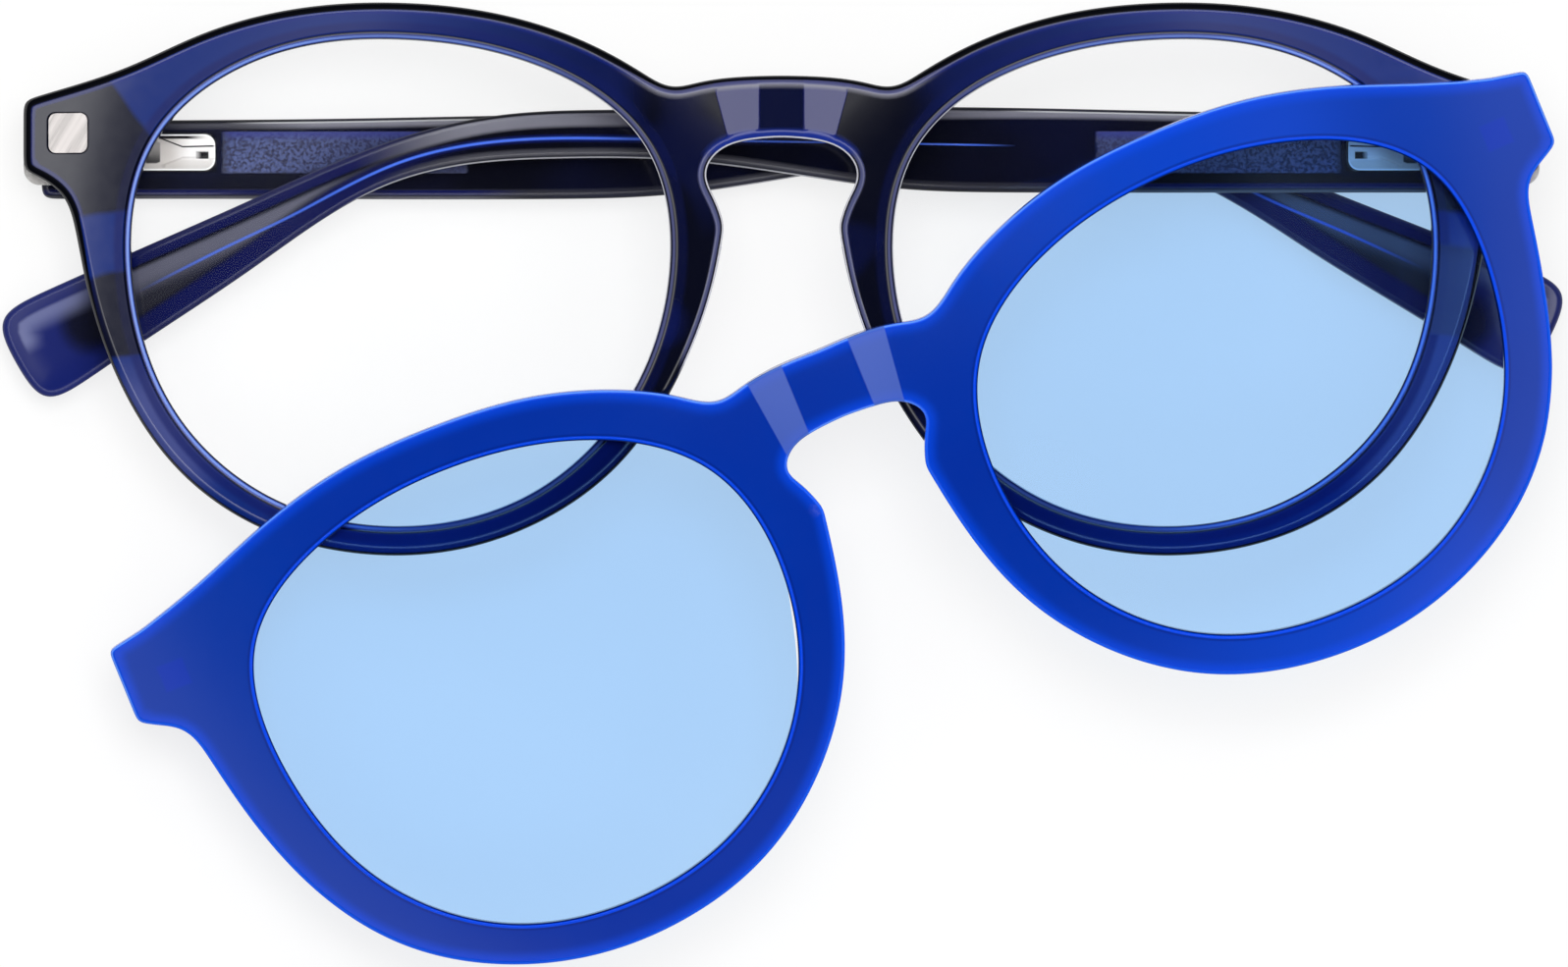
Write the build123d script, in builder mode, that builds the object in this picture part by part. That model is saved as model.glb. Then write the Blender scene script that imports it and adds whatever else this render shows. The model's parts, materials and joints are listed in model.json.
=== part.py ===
from build123d import *
from math import cos, radians, sin, sqrt
import os

# Round keyhole-bridge glasses lying folded and face up, with a magnetic clip-on swung aside on one magnet.
# All sizes are millimetres and degrees. The wearer's left and right are not used: left and right are the
# viewer's, looking at the front. On the front's own plane X runs to the right, Y up the face and Z out of it.

LEFT = -1
RIGHT = 1
SIDES = {"left": LEFT, "right": RIGHT}

# The face: the front's outer face and the back of the clip-on lie on one sphere, so the clip-on can swing
FACE_RADIUS = 300.0
FRONT_THICKNESS = 4.0
CLIP_THICKNESS = 1.6
CLIP_GAP = 0.1

# How far the cutting shapes run past what they cut
REACH = 15.0
TALL = 80.0

# Picking edges and faces: how near a size has to be, and the cosine that tells a wall from a broad face
NEAR = 0.05
STEEP = 0.7

# How the folded glasses lie: the front leans on the crossed arms
FRONT_TILT = 3.3
FRONT_PLACE = (-1.35, 18.06, 22.7)
ARM_SLOPE = 1.6
CLIP_SWING = 22.8

# Front: the right half of its outline, from the bridge's top round the rim to the keyhole's top
LENS_CENTRE = (34.56, 0.0)
LENS_RADII = (24.1, 25.4, 23.3, 22.4, 24.3, 26.4, 25.0, 24.1, 23.05, 22.2, 22.4, 22.95)
FRONT_UPPER = (
    (0, 19.1), (5, 18.9), (8, 18.4), (9.9, 18.05), (12.5, 19.2), (16.5, 21.5), (25.6, 24.7),
    (34.6, 25.8), (43.8, 25.4), (53.7, 22.8), (60, 20.0), (67.2, 17.65),
)
FRONT_CORNERS = ((69.55, 16.9), (69.55, 10.5))
FRONT_LOWER = (
    (68.0, 9.75), (66.2, 8.35), (64.9, 5.0), (63.9, 0.0), (60.6, -9.5), (55.2, -17.3), (47.6, -22.5),
    (38.9, -24.75), (30.2, -24.5), (22.0, -21.75), (14.85, -16.5), (9.7, -9.0), (6.25, 0.0), (5.22, 5.3),
)
FRONT_KEYHOLE = ((5.22, 5.3), (6.2, 8.0), (7.0, 10.0), (6.1, 11.9), (3.0, 13.2), (0, 13.45))
CORNER_RADIUS = 0.9
RIM_ROUNDING = 0.6
GROOVE_DEPTH = 0.7
GROOVE_BELOW = 1.35
LENS_THICKNESS = 1.2
FIT_GAP = 0.05

# The bridge's two facets: a valley each side of its middle, cut below the face
FACET_INNER = 2.05
FACET_CREASE_TOP = 6.3
FACET_CREASE_BOTTOM = 5.0
FACET_OUTER = 10.5
FACET_DEPTH = 0.6
BRIDGE_TOP = 19.6
BRIDGE_BOTTOM = 11.5

# End pieces: thick flat-backed blocks with a plaque and a magnet in front and the hinge leaf behind
BLOCK_X = 61.5
BLOCK_BACK = -12.0
MAGNET_X = 65.6
MAGNET_Y = 13.9
MAGNET_RADIUS = 1.5
PLAQUE_SIDE = 3.65
PLAQUE_CORNER = 0.7
PLAQUE_THICKNESS = 0.6
PLAQUE_SUNK = 0.05
FRONT_MAGNET_THICKNESS = 1.2
CLIP_MAGNET_THICKNESS = 0.9

# Nose pads behind the nasal rims
PAD_CENTRE = (8.9, -4.0)
PAD_LONG = 8.0
PAD_WIDE = 2.6
PAD_LEAN = 21.0
PAD_DEPTH = 2.6
PAD_SLOPE = 6.0

# Hinge: the axis is parallel to Y, behind the end piece
HINGE_X = 66.0
HINGE_Y = 12.2
HINGE_Z = -15.0
PLATE_THICKNESS = 0.8
PLATE_INNER = 61.7
PLATE_OUTER = 69.75
PLATE_HEIGHT = 6.1
PLATE_CORNER = 1.5
KNUCKLE_RADIUS = 1.25
KNUCKLE_SPAN = 3.2
KNUCKLE_MIDDLE = 1.2
KNUCKLE_GAP = 0.05
SCREW_RADIUS = 0.6
SCREW_HEAD_RADIUS = 0.95
SCREW_HEAD_THICKNESS = 0.45
SCREW_SLOT = 0.25
RUNNING_FIT = 0.03
RIVET_X = 63.2
RIVET_SPACING = 2.6
RIVET_RADIUS = 0.5
RIVET_HEAD_RADIUS = 0.85
RIVET_HEAD_THICKNESS = 0.4
RIVET_LENGTH = 2.8

# Spring housing and slider, measured along the arm from the hinge axis and inwards from the axis
HOUSING_START = 1.7
HOUSING_END = 13.95
HOUSING_WIDTH = 3.6
HOUSING_TOP = 0.05
HOUSING_FLOOR = -2.6
HOUSING_CORNER = 1.15
SHANK_Z = -1.25
GUIDE_WIDTH = 2.1
GUIDE_HEIGHT = 1.5
GUIDE_END = 4.9
CHAMBER_START = 5.7
CHAMBER_END = 12.2
CHAMBER_RADIUS = 0.95
ROD_RADIUS = 0.42
NUT_START = 10.3
NUT_END = 11.1
NUT_RADIUS = 0.8
SPRING_OUTER = 0.85
SPRING_INNER = 0.5
SLIDE_GAP = 0.06
WINDOW = (1.2, 0.7)
WINDOW_AT = 12.65
EMBOSS = 0.15

# Arm, measured along from the hinge axis: its side outline and its thickness
ARM_BUTT = -2.15
ARM_TOP = (
    (-2.15, 15.7), (26, 15.9), (50, 16.35), (81.4, 16.1), (92, 15.6), (99.7, 13.95), (114.75, 7.85),
    (130.7, 0.8), (138.9, -2.9),
)
ARM_BOTTOM = (
    (134.0, -11.6), (124.9, -5.35), (114.75, 1.45), (102, 9.3), (95.1, 11.05), (85.8, 11.65),
    (77.9, 11.6), (66, 10.3), (54.6, 8.8), (45, 8.5), (20, 8.5), (-2.15, 8.5),
)
TIP_CORNER = 2.4
INNER_FACE = -0.1
OUTER_BUTT = -3.55
OUTER_FLARE = ((112, -3.35), (124, -5.1), (136, -7.45), (139.5, -7.9))
INNER_FLARE = ((139.5, -3.2), (128, -1.5), (112, -0.1))
ARM_ROUNDING = 0.8
PANEL_END = 37.0
PANEL_DEPTH = 0.2
EASED_FROM = (66.0, 11.0)
EAR_EASE = {LEFT: 3.0, RIGHT: 0.0}
ARM_DROP = {LEFT: 0.5, RIGHT: 0.0}
WIRE_RADIUS = 0.55
WIRE_Z = -1.7
WIRE_ROUTE = ((16.0, 12.1), (70.0, 13.3), (88.0, 13.9), (101.0, 11.3), (117.0, 3.6))
WIRE_BEND = 12.0

# Clip-on
CLIP_CENTRE = (35.15, 0.65)
CLIP_RADII = (24.3, 25.2, 22.8, 21.65, 23.3, 26.2, 24.3, 23.15, 22.25, 21.55, 22.15, 23.2)
CLIP_UPPER = (
    (0, 19.75), (5, 19.7), (8, 19.15), (10, 18.8), (13.5, 20.6), (17, 22.6), (26.1, 25.6), (35.15, 26.4),
    (44.35, 25.9), (54.3, 23.3), (60, 21.1), (67, 18.8),
)
CLIP_CORNERS = ((70.4, 18.1), (70.4, 11.0))
CLIP_LOWER = (
    (69.0, 10.2), (66.9, 8.85), (65.7, 5.6), (64.6, 0.2), (61.35, -9.2), (55.8, -16.95), (48.1, -22.0),
    (39.5, -24.4), (30.8, -24.3), (22.2, -21.75), (14.7, -16.4), (9.0, -8.65), (5.95, 0.8), (5.05, 6.15),
)
CLIP_KEYHOLE = ((5.05, 6.15), (6.2, 9.05), (6.8, 10.5), (5.9, 12.05), (3.0, 13.1), (0, 13.3))
CLIP_ROUNDING = 0.3
CLIP_GROOVE_DEPTH = 0.5
CLIP_LENS_LOW = 0.35
CLIP_LENS_THICKNESS = 0.8
ARCH_TOP = 20.4
ARCH_BOTTOM = 12.3
ARCH_HALF_TOP = 3.2
ARCH_HALF_BASE_TOP = 6.9
ARCH_HALF_BASE_BOTTOM = 5.9
ARCH_RISE = 0.75
ARCH_ROOT = 0.5


def tilted(origin, degrees):
    """A plane whose right-hand side is raised by an angle."""
    turn = radians(degrees)
    return Plane(origin=origin, x_dir=(cos(turn), 0, sin(turn)), z_dir=(-sin(turn), 0, cos(turn)))


def seat(base, x, y, height=0.0):
    """The plane that touches a base plane's face sphere over x, y, raised off it by a height."""
    rise = sqrt(FACE_RADIUS**2 - x**2 - y**2)
    out = Vector(x, y, rise) * (1 / FACE_RADIUS)
    foot = out * (FACE_RADIUS + height) - Vector(0, 0, FACE_RADIUS)
    normal = base.from_local_coords(out) - base.origin
    return Plane(origin=base.from_local_coords(foot), x_dir=base.x_dir, z_dir=normal)


FRONT = tilted(FRONT_PLACE, FRONT_TILT)
PIVOT = seat(FRONT, MAGNET_X, MAGNET_Y)
CLIP = Plane(PIVOT.location * Rotation(0, 0, CLIP_SWING) * PIVOT.location.inverse() * FRONT.location)
HINGES = {
    side: tilted(FRONT.from_local_coords((side * HINGE_X, HINGE_Y, HINGE_Z)), ARM_SLOPE)
    for side in SIDES.values()
}


def save(part, name):
    """Labels a finished piece and writes it under its name."""
    part.label = name
    export_step(part, f"parts/{name}.step")


def face_sphere(base, height, mode):
    """A sphere at a height off a base plane's face, its poles and seam well away from the glasses."""
    with Locations(base.from_local_coords((0, 0, -FACE_RADIUS))):
        Sphere(FACE_RADIUS + height, rotation=(90, 0, 0), mode=mode)


def lens_sketch(plane, side, centre, radii, grow=0.0):
    """A lens opening: a smooth closed curve through radii at equal angles, counted from the nose upwards."""
    step = 360 / len(radii)
    with BuildSketch(plane) as opening:
        with BuildLine():
            points = [
                (
                    side * (centre[0] - (radius + grow) * cos(radians(step * n))),
                    centre[1] + (radius + grow) * sin(radians(step * n)),
                )
                for n, radius in enumerate(radii)
            ]
            Spline(*points, periodic=True)
        make_face()
    return opening.sketch


def outline_sketch(plane, upper, corners, lower, keyhole):
    """A whole front's outline, drawn as its right half and mirrored."""
    with BuildSketch(plane) as outline:
        with BuildLine():
            Spline(*upper)
            Polyline(upper[-1], *corners, lower[0])
            Spline(*lower)
            Spline(*keyhole)
            mirror(about=Plane.YZ)
        make_face()
        fillet(outline.vertices().filter_by(lambda v: abs(v.X) > corners[0][0] - NEAR), CORNER_RADIUS)
    return outline.sketch


def front_outline():
    """The front's outline, on the plane of the end pieces' backs."""
    back = FRONT.offset(BLOCK_BACK)
    return outline_sketch(back, FRONT_UPPER, FRONT_CORNERS, FRONT_LOWER, FRONT_KEYHOLE)


def clip_outline():
    """The clip-on's outline, on a plane well behind it."""
    back = CLIP.offset(-REACH)
    return outline_sketch(back, CLIP_UPPER, CLIP_CORNERS, CLIP_LOWER, CLIP_KEYHOLE)


def bridge_slice(base, y, points, height):
    """A cross-section of the bridge at y, whose points are x and a rise over the face at that height."""
    drop = y * y / (2 * FACE_RADIUS)
    plane = Plane(origin=base.from_local_coords((0, y, height - drop)), x_dir=base.x_dir, z_dir=-base.y_dir)
    with BuildSketch(plane) as section:
        Polygon(*points, align=None)
    return section.sketch


def facet_points(side, crease):
    """The section of one facet's valley, open well above the face."""
    depth = FACET_DEPTH * (crease - FACET_INNER) / (FACET_CREASE_TOP - FACET_INNER)
    above = FACET_DEPTH
    return [
        (side * (FACET_INNER - (crease - FACET_INNER)), above),
        (side * FACET_INNER, 0),
        (side * crease, -depth),
        (side * FACET_OUTER, 0),
        (side * (FACET_OUTER + FACET_INNER), above),
    ]


def arch_points(half_base):
    """The section of the clip-on's arch: a flat top between two facets."""
    return [
        (-half_base, -ARCH_ROOT),
        (-half_base, 0),
        (-ARCH_HALF_TOP, ARCH_RISE),
        (ARCH_HALF_TOP, ARCH_RISE),
        (half_base, 0),
        (half_base, -ARCH_ROOT),
    ]


def rim_edges(part, height):
    """The edges where a front's outer face meets its outline and its openings."""
    faces = part.faces().filter_by(GeomType.SPHERE)
    outer = [face for face in faces if abs(face.radius - FACE_RADIUS - height) < NEAR]
    return ShapeList(outer).sort_by(SortBy.AREA)[-1].edges()


# The hollow behind the rims stops at the end pieces' blocks
with BuildPart() as hollow:
    face_sphere(FRONT, -FRONT_THICKNESS, Mode.ADD)
    with BuildSketch(FRONT):
        Rectangle(2 * BLOCK_X, TALL)
    extrude(amount=REACH, both=True, mode=Mode.INTERSECT)

# Lens grooves, one tool for both rims
with BuildPart() as grooves:
    for side in SIDES.values():
        extrude(lens_sketch(FRONT, side, LENS_CENTRE, LENS_RADII, GROOVE_DEPTH), amount=REACH, both=True)
    face_sphere(FRONT, -GROOVE_BELOW, Mode.INTERSECT)
    face_sphere(FRONT, -GROOVE_BELOW - LENS_THICKNESS - 2 * FIT_GAP, Mode.SUBTRACT)

with BuildPart() as front_frame:
    extrude(front_outline(), amount=REACH)
    face_sphere(FRONT, 0, Mode.INTERSECT)
    add(hollow.part, mode=Mode.SUBTRACT)
    for side in SIDES.values():
        opening = lens_sketch(FRONT, side, LENS_CENTRE, LENS_RADII)
        extrude(opening, amount=REACH, both=True, mode=Mode.SUBTRACT)
    fillet(rim_edges(front_frame.part, 0), RIM_ROUNDING)
    for side in SIDES.values():
        upper = bridge_slice(FRONT, BRIDGE_TOP, facet_points(side, FACET_CREASE_TOP), 0)
        lower = bridge_slice(FRONT, BRIDGE_BOTTOM, facet_points(side, FACET_CREASE_BOTTOM), 0)
        loft([upper, lower], ruled=True, mode=Mode.SUBTRACT)
    add(grooves.part, mode=Mode.SUBTRACT)
    for side in SIDES.values():
        with BuildSketch(seat(FRONT, side * MAGNET_X, MAGNET_Y, -PLAQUE_SUNK - PLAQUE_THICKNESS)):
            RectangleRounded(PLAQUE_SIDE + FIT_GAP, PLAQUE_SIDE + FIT_GAP, PLAQUE_CORNER)
        extrude(amount=2 * PLAQUE_THICKNESS, mode=Mode.SUBTRACT)
        with BuildSketch(seat(FRONT, side * MAGNET_X, MAGNET_Y, -PLAQUE_SUNK - PLAQUE_THICKNESS)):
            Circle(MAGNET_RADIUS + FIT_GAP)
        extrude(amount=-FRONT_MAGNET_THICKNESS - FIT_GAP, mode=Mode.SUBTRACT)
        with BuildSketch(FRONT.offset(BLOCK_BACK)):
            with Locations((side * RIVET_X, HINGE_Y)):
                with GridLocations(0, RIVET_SPACING, 1, 2):
                    Circle(RIVET_RADIUS)
        extrude(amount=RIVET_LENGTH - PLATE_THICKNESS + FIT_GAP, mode=Mode.SUBTRACT)


def make_demo_lens(side):
    with BuildPart() as demo_lens:
        disc = lens_sketch(FRONT, side, LENS_CENTRE, LENS_RADII, GROOVE_DEPTH - FIT_GAP)
        extrude(disc, amount=REACH, both=True)
        face_sphere(FRONT, -GROOVE_BELOW - FIT_GAP, Mode.INTERSECT)
        face_sphere(FRONT, -GROOVE_BELOW - FIT_GAP - LENS_THICKNESS, Mode.SUBTRACT)
    return demo_lens.part


def make_nose_pad(side):
    with BuildPart() as nose_pad:
        extrude(front_outline(), amount=REACH)
        opening = lens_sketch(FRONT, side, LENS_CENTRE, LENS_RADII, GROOVE_DEPTH)
        extrude(opening, amount=REACH, both=True, mode=Mode.SUBTRACT)
        with BuildSketch(FRONT.offset(-FRONT_THICKNESS - PAD_DEPTH)):
            with Locations(Location((side * PAD_CENTRE[0], PAD_CENTRE[1]), side * PAD_LEAN)):
                Ellipse(PAD_WIDE, PAD_LONG)
        extrude(amount=REACH, taper=-PAD_SLOPE, mode=Mode.INTERSECT)
        face_sphere(FRONT, -FRONT_THICKNESS, Mode.INTERSECT)
    return nose_pad.part


def make_plaque(side):
    with BuildPart() as plaque:
        with BuildSketch(seat(FRONT, side * MAGNET_X, MAGNET_Y, -PLAQUE_SUNK)):
            RectangleRounded(PLAQUE_SIDE, PLAQUE_SIDE, PLAQUE_CORNER)
        extrude(amount=-PLAQUE_THICKNESS)
    return plaque.part


def make_front_magnet(side):
    with BuildPart() as front_magnet:
        with BuildSketch(seat(FRONT, side * MAGNET_X, MAGNET_Y, -PLAQUE_SUNK - PLAQUE_THICKNESS)):
            Circle(MAGNET_RADIUS)
        extrude(amount=-FRONT_MAGNET_THICKNESS)
    return front_magnet.part


def hinge_side_plane(side, y):
    """A plane square to the hinge axis at a height y over the hinge's middle, with its normal along +Y."""
    hinge = HINGES[side]
    return Plane(origin=hinge.from_local_coords((0, y, 0)), x_dir=hinge.x_dir, z_dir=hinge.y_dir)


def make_hinge_leaf(side):
    """The front leaf: a plate with two knuckles that reach down to the hinge axis."""
    plate_back = FRONT.offset(BLOCK_BACK - PLATE_THICKNESS)
    web_middle = (KNUCKLE_SPAN + KNUCKLE_MIDDLE) / 4 + KNUCKLE_GAP / 2
    web_width = (KNUCKLE_SPAN - KNUCKLE_MIDDLE) / 2 - KNUCKLE_GAP
    with BuildPart() as hinge_leaf:
        with BuildSketch(plate_back):
            with Locations((side * (PLATE_INNER + PLATE_OUTER) / 2, HINGE_Y)):
                RectangleRounded(PLATE_OUTER - PLATE_INNER, PLATE_HEIGHT, PLATE_CORNER)
        extrude(amount=PLATE_THICKNESS)
        for up in (-1, 1):
            with BuildSketch(hinge_side_plane(side, up * web_middle)):
                Circle(KNUCKLE_RADIUS)
            extrude(amount=web_width / 2, both=True)
            with BuildSketch(plate_back):
                with Locations((side * HINGE_X, HINGE_Y + up * web_middle)):
                    Rectangle(2 * KNUCKLE_RADIUS, web_width)
            extrude(amount=HINGE_Z - BLOCK_BACK + PLATE_THICKNESS)
        with BuildSketch(hinge_side_plane(side, 0)):
            Circle(SCREW_RADIUS)
        extrude(amount=-KNUCKLE_SPAN, mode=Mode.SUBTRACT)
        with BuildSketch(hinge_side_plane(side, 0)):
            Circle(SCREW_RADIUS + RUNNING_FIT)
        extrude(amount=KNUCKLE_SPAN, mode=Mode.SUBTRACT)
        with BuildSketch(hinge_side_plane(side, KNUCKLE_SPAN / 2 - SCREW_HEAD_THICKNESS)):
            Circle(SCREW_HEAD_RADIUS + RUNNING_FIT)
        extrude(amount=KNUCKLE_SPAN, mode=Mode.SUBTRACT)
        with BuildSketch(plate_back):
            with Locations((side * RIVET_X, HINGE_Y)):
                with GridLocations(0, RIVET_SPACING, 1, 2):
                    Circle(RIVET_HEAD_RADIUS)
        extrude(amount=RIVET_HEAD_THICKNESS, mode=Mode.SUBTRACT)
        with BuildSketch(plate_back):
            with Locations((side * RIVET_X, HINGE_Y)):
                with GridLocations(0, RIVET_SPACING, 1, 2):
                    Circle(RIVET_RADIUS)
        extrude(amount=PLATE_THICKNESS, mode=Mode.SUBTRACT)
    return hinge_leaf.part


def make_hinge_rivets(side):
    with BuildPart() as hinge_rivets:
        with BuildSketch(FRONT.offset(BLOCK_BACK - PLATE_THICKNESS)):
            with Locations((side * RIVET_X, HINGE_Y)):
                with GridLocations(0, RIVET_SPACING, 1, 2):
                    Circle(RIVET_RADIUS)
        extrude(amount=RIVET_LENGTH)
        with BuildSketch(FRONT.offset(BLOCK_BACK - PLATE_THICKNESS)):
            with Locations((side * RIVET_X, HINGE_Y)):
                with GridLocations(0, RIVET_SPACING, 1, 2):
                    Circle(RIVET_HEAD_RADIUS)
        extrude(amount=RIVET_HEAD_THICKNESS)
    return hinge_rivets.part


def make_hinge_screw(side):
    head_base = KNUCKLE_SPAN / 2 - SCREW_HEAD_THICKNESS
    with BuildPart() as hinge_screw:
        with BuildSketch(hinge_side_plane(side, -KNUCKLE_SPAN / 2)):
            Circle(SCREW_RADIUS)
        extrude(amount=KNUCKLE_SPAN / 2 + head_base)
        with BuildSketch(hinge_side_plane(side, head_base)):
            Circle(SCREW_HEAD_RADIUS)
        extrude(amount=SCREW_HEAD_THICKNESS)
        with BuildSketch(hinge_side_plane(side, KNUCKLE_SPAN / 2)):
            Rectangle(2 * SCREW_HEAD_RADIUS, SCREW_SLOT)
        extrude(amount=-SCREW_SLOT, mode=Mode.SUBTRACT)
    return hinge_screw.part


def shank_plane(side, along):
    """A plane across the arm, its X up the face and its Y inwards, whose normal runs on along the arm."""
    hinge = HINGES[side]
    origin = hinge.from_local_coords((-side * along, 0, SHANK_Z))
    return Plane(origin=origin, x_dir=hinge.y_dir * -side, z_dir=hinge.x_dir * -side)


def make_slider(side):
    """The middle knuckle, with a square block and a thin rod that reach into the housing."""
    with BuildPart() as slider:
        with BuildSketch(hinge_side_plane(side, 0)):
            Circle(KNUCKLE_RADIUS)
        extrude(amount=KNUCKLE_MIDDLE / 2, both=True)
        with BuildSketch(shank_plane(side, 0)):
            with Locations((0, GUIDE_HEIGHT / 4)):
                Rectangle(KNUCKLE_MIDDLE, GUIDE_HEIGHT / 2)
        extrude(amount=GUIDE_END)
        with BuildSketch(shank_plane(side, HOUSING_START + SLIDE_GAP)):
            Rectangle(GUIDE_WIDTH - 2 * SLIDE_GAP, GUIDE_HEIGHT - 2 * SLIDE_GAP)
        extrude(amount=GUIDE_END - HOUSING_START - 3 * SLIDE_GAP)
        with BuildSketch(shank_plane(side, HOUSING_START)):
            Circle(ROD_RADIUS)
        extrude(amount=NUT_START + (NUT_END - NUT_START) / 2 - HOUSING_START)
        with BuildSketch(hinge_side_plane(side, 0)):
            Circle(SCREW_RADIUS + RUNNING_FIT)
        extrude(amount=KNUCKLE_SPAN, both=True, mode=Mode.SUBTRACT)
    return slider.part


def make_spring_nut(side):
    with BuildPart() as spring_nut:
        with BuildSketch(shank_plane(side, NUT_START)):
            RegularPolygon(NUT_RADIUS, 6)
        extrude(amount=NUT_END - NUT_START)
        with BuildSketch(shank_plane(side, NUT_START)):
            Circle(ROD_RADIUS)
        extrude(amount=(NUT_END - NUT_START) / 2, mode=Mode.SUBTRACT)
    return spring_nut.part


def make_spring(side):
    with BuildPart() as spring:
        with BuildSketch(shank_plane(side, CHAMBER_START)):
            Circle(SPRING_OUTER)
            Circle(SPRING_INNER, mode=Mode.SUBTRACT)
        extrude(amount=NUT_START - CHAMBER_START)
    return spring.part


def housing_sketch(side):
    """The housing's outline on the arm's inner face: square at the hinge and rounded at its far end."""
    with BuildSketch(HINGES[side]) as outline:
        with Locations((-side * (HOUSING_START + HOUSING_END) / 2, 0)):
            Rectangle(HOUSING_END - HOUSING_START, HOUSING_WIDTH)
        far = outline.vertices().filter_by(lambda v: abs(v.X) > HOUSING_END - NEAR)
        fillet(far, HOUSING_CORNER)
    return outline.sketch


def make_spring_housing(side):
    with BuildPart() as spring_housing:
        extrude(housing_sketch(side), amount=HOUSING_FLOOR)
        extrude(housing_sketch(side), amount=HOUSING_TOP)
        with BuildSketch(shank_plane(side, HOUSING_START)):
            Rectangle(GUIDE_WIDTH, GUIDE_HEIGHT)
        extrude(amount=GUIDE_END - HOUSING_START, mode=Mode.SUBTRACT)
        with BuildSketch(shank_plane(side, GUIDE_END)):
            Circle(ROD_RADIUS + SLIDE_GAP)
        extrude(amount=CHAMBER_START - GUIDE_END, mode=Mode.SUBTRACT)
        with BuildSketch(shank_plane(side, CHAMBER_START)):
            Circle(CHAMBER_RADIUS)
        extrude(amount=CHAMBER_END - CHAMBER_START, mode=Mode.SUBTRACT)
        with BuildSketch(HINGES[side].offset(HOUSING_TOP)):
            with Locations((-side * WINDOW_AT, 0)):
                Rectangle(*WINDOW)
        extrude(amount=-EMBOSS, mode=Mode.SUBTRACT)
    return spring_housing.part


def arm_point(side, along, height):
    """A point of the arm's side outline on its hinge plane, eased up at the ear and dropped as that side is."""
    ease = radians(EAR_EASE[side])
    x, y = along, height
    if along > EASED_FROM[0]:
        out, up = along - EASED_FROM[0], height - EASED_FROM[1]
        x = EASED_FROM[0] + out * cos(ease) - up * sin(ease)
        y = EASED_FROM[1] + out * sin(ease) + up * cos(ease)
    return (-side * x, y - ARM_DROP[side] - HINGE_Y)


def wire_path(side):
    """The core wire's line: straight runs joined by tangent arcs."""
    points = [arm_point(side, *point) for point in WIRE_ROUTE]
    with BuildLine(HINGES[side].offset(WIRE_Z)) as path:
        FilletPolyline(*points, radius=WIRE_BEND)
    return path.line


def wire_section(side, radius):
    start = wire_path(side)
    with BuildSketch(Plane(origin=start @ 0, z_dir=start % 0)) as section:
        Circle(radius)
    return section.sketch


def make_core_wire(side):
    with BuildPart() as core_wire:
        sweep(wire_section(side, WIRE_RADIUS), path=wire_path(side))
    return core_wire.part


def arm_rim(arm, hinge):
    """The long edges of an arm's two broad faces, round its tip too, but not those of its butt."""
    walls = arm.faces().filter_by(lambda face: abs(face.normal_at().dot(hinge.z_dir)) < STEEP)
    rim = ShapeList()
    for edge in walls.edges():
        run = (edge.end_point() - edge.start_point()).normalized()
        at_butt = abs(hinge.to_local_coords(edge.center()).X) < abs(ARM_BUTT) + NEAR
        if abs(run.dot(hinge.z_dir)) < STEEP and not at_butt:
            rim.append(edge)
    return rim


def make_temple(side):
    hinge = HINGES[side]
    edge_on = Plane(origin=hinge.origin, x_dir=hinge.x_dir, z_dir=-hinge.y_dir)
    with BuildPart() as temple:
        with BuildSketch(hinge) as outline:
            with BuildLine():
                top = [arm_point(side, *point) for point in ARM_TOP]
                bottom = [arm_point(side, *point) for point in ARM_BOTTOM]
                Spline(*top)
                Line(top[-1], bottom[0])
                Spline(*bottom)
                Line(bottom[-1], top[0])
            make_face()
            ends = outline.vertices().filter_by(lambda v: abs(v.X) > ARM_BOTTOM[0][0] - TIP_CORNER)
            fillet(ends, TIP_CORNER)
        extrude(amount=REACH, both=True)
        with BuildSketch(edge_on):
            with BuildLine():
                outer = [(-side * along, z) for along, z in OUTER_FLARE]
                inner = [(-side * along, z) for along, z in INNER_FLARE]
                butt = -side * ARM_BUTT
                Polyline(inner[-1], (butt, INNER_FACE), (butt, OUTER_BUTT), outer[0])
                Spline(*outer, tangents=[(-side, 0), (-side, 0)])
                Line(outer[-1], inner[0])
                Spline(*inner, tangents=[(side, 0), (side, 0)])
            make_face()
        extrude(amount=TALL, both=True, mode=Mode.INTERSECT)
        fillet(arm_rim(temple.part, hinge), ARM_ROUNDING)
        extrude(housing_sketch(side), amount=HOUSING_FLOOR, mode=Mode.SUBTRACT)
        with BuildSketch(hinge):
            with Locations((-side * (ARM_BUTT + HOUSING_START) / 2, 0)):
                Rectangle(HOUSING_START - ARM_BUTT, HOUSING_WIDTH)
        extrude(amount=HOUSING_FLOOR, mode=Mode.SUBTRACT)
        with BuildSketch(hinge.offset(INNER_FACE)):
            with Locations((-side * (HOUSING_END + PANEL_END) / 2, 0)):
                Rectangle(PANEL_END - HOUSING_END, HOUSING_WIDTH)
        extrude(amount=-PANEL_DEPTH, mode=Mode.SUBTRACT)
        sweep(wire_section(side, WIRE_RADIUS), path=wire_path(side), mode=Mode.SUBTRACT)
    return temple.part


with BuildPart() as clip_grooves:
    for side in SIDES.values():
        disc = lens_sketch(CLIP, side, CLIP_CENTRE, CLIP_RADII, CLIP_GROOVE_DEPTH)
        extrude(disc, amount=REACH, both=True)
    face_sphere(CLIP, CLIP_GAP + CLIP_LENS_LOW + CLIP_LENS_THICKNESS + 2 * FIT_GAP, Mode.INTERSECT)
    face_sphere(CLIP, CLIP_GAP + CLIP_LENS_LOW, Mode.SUBTRACT)

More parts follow.
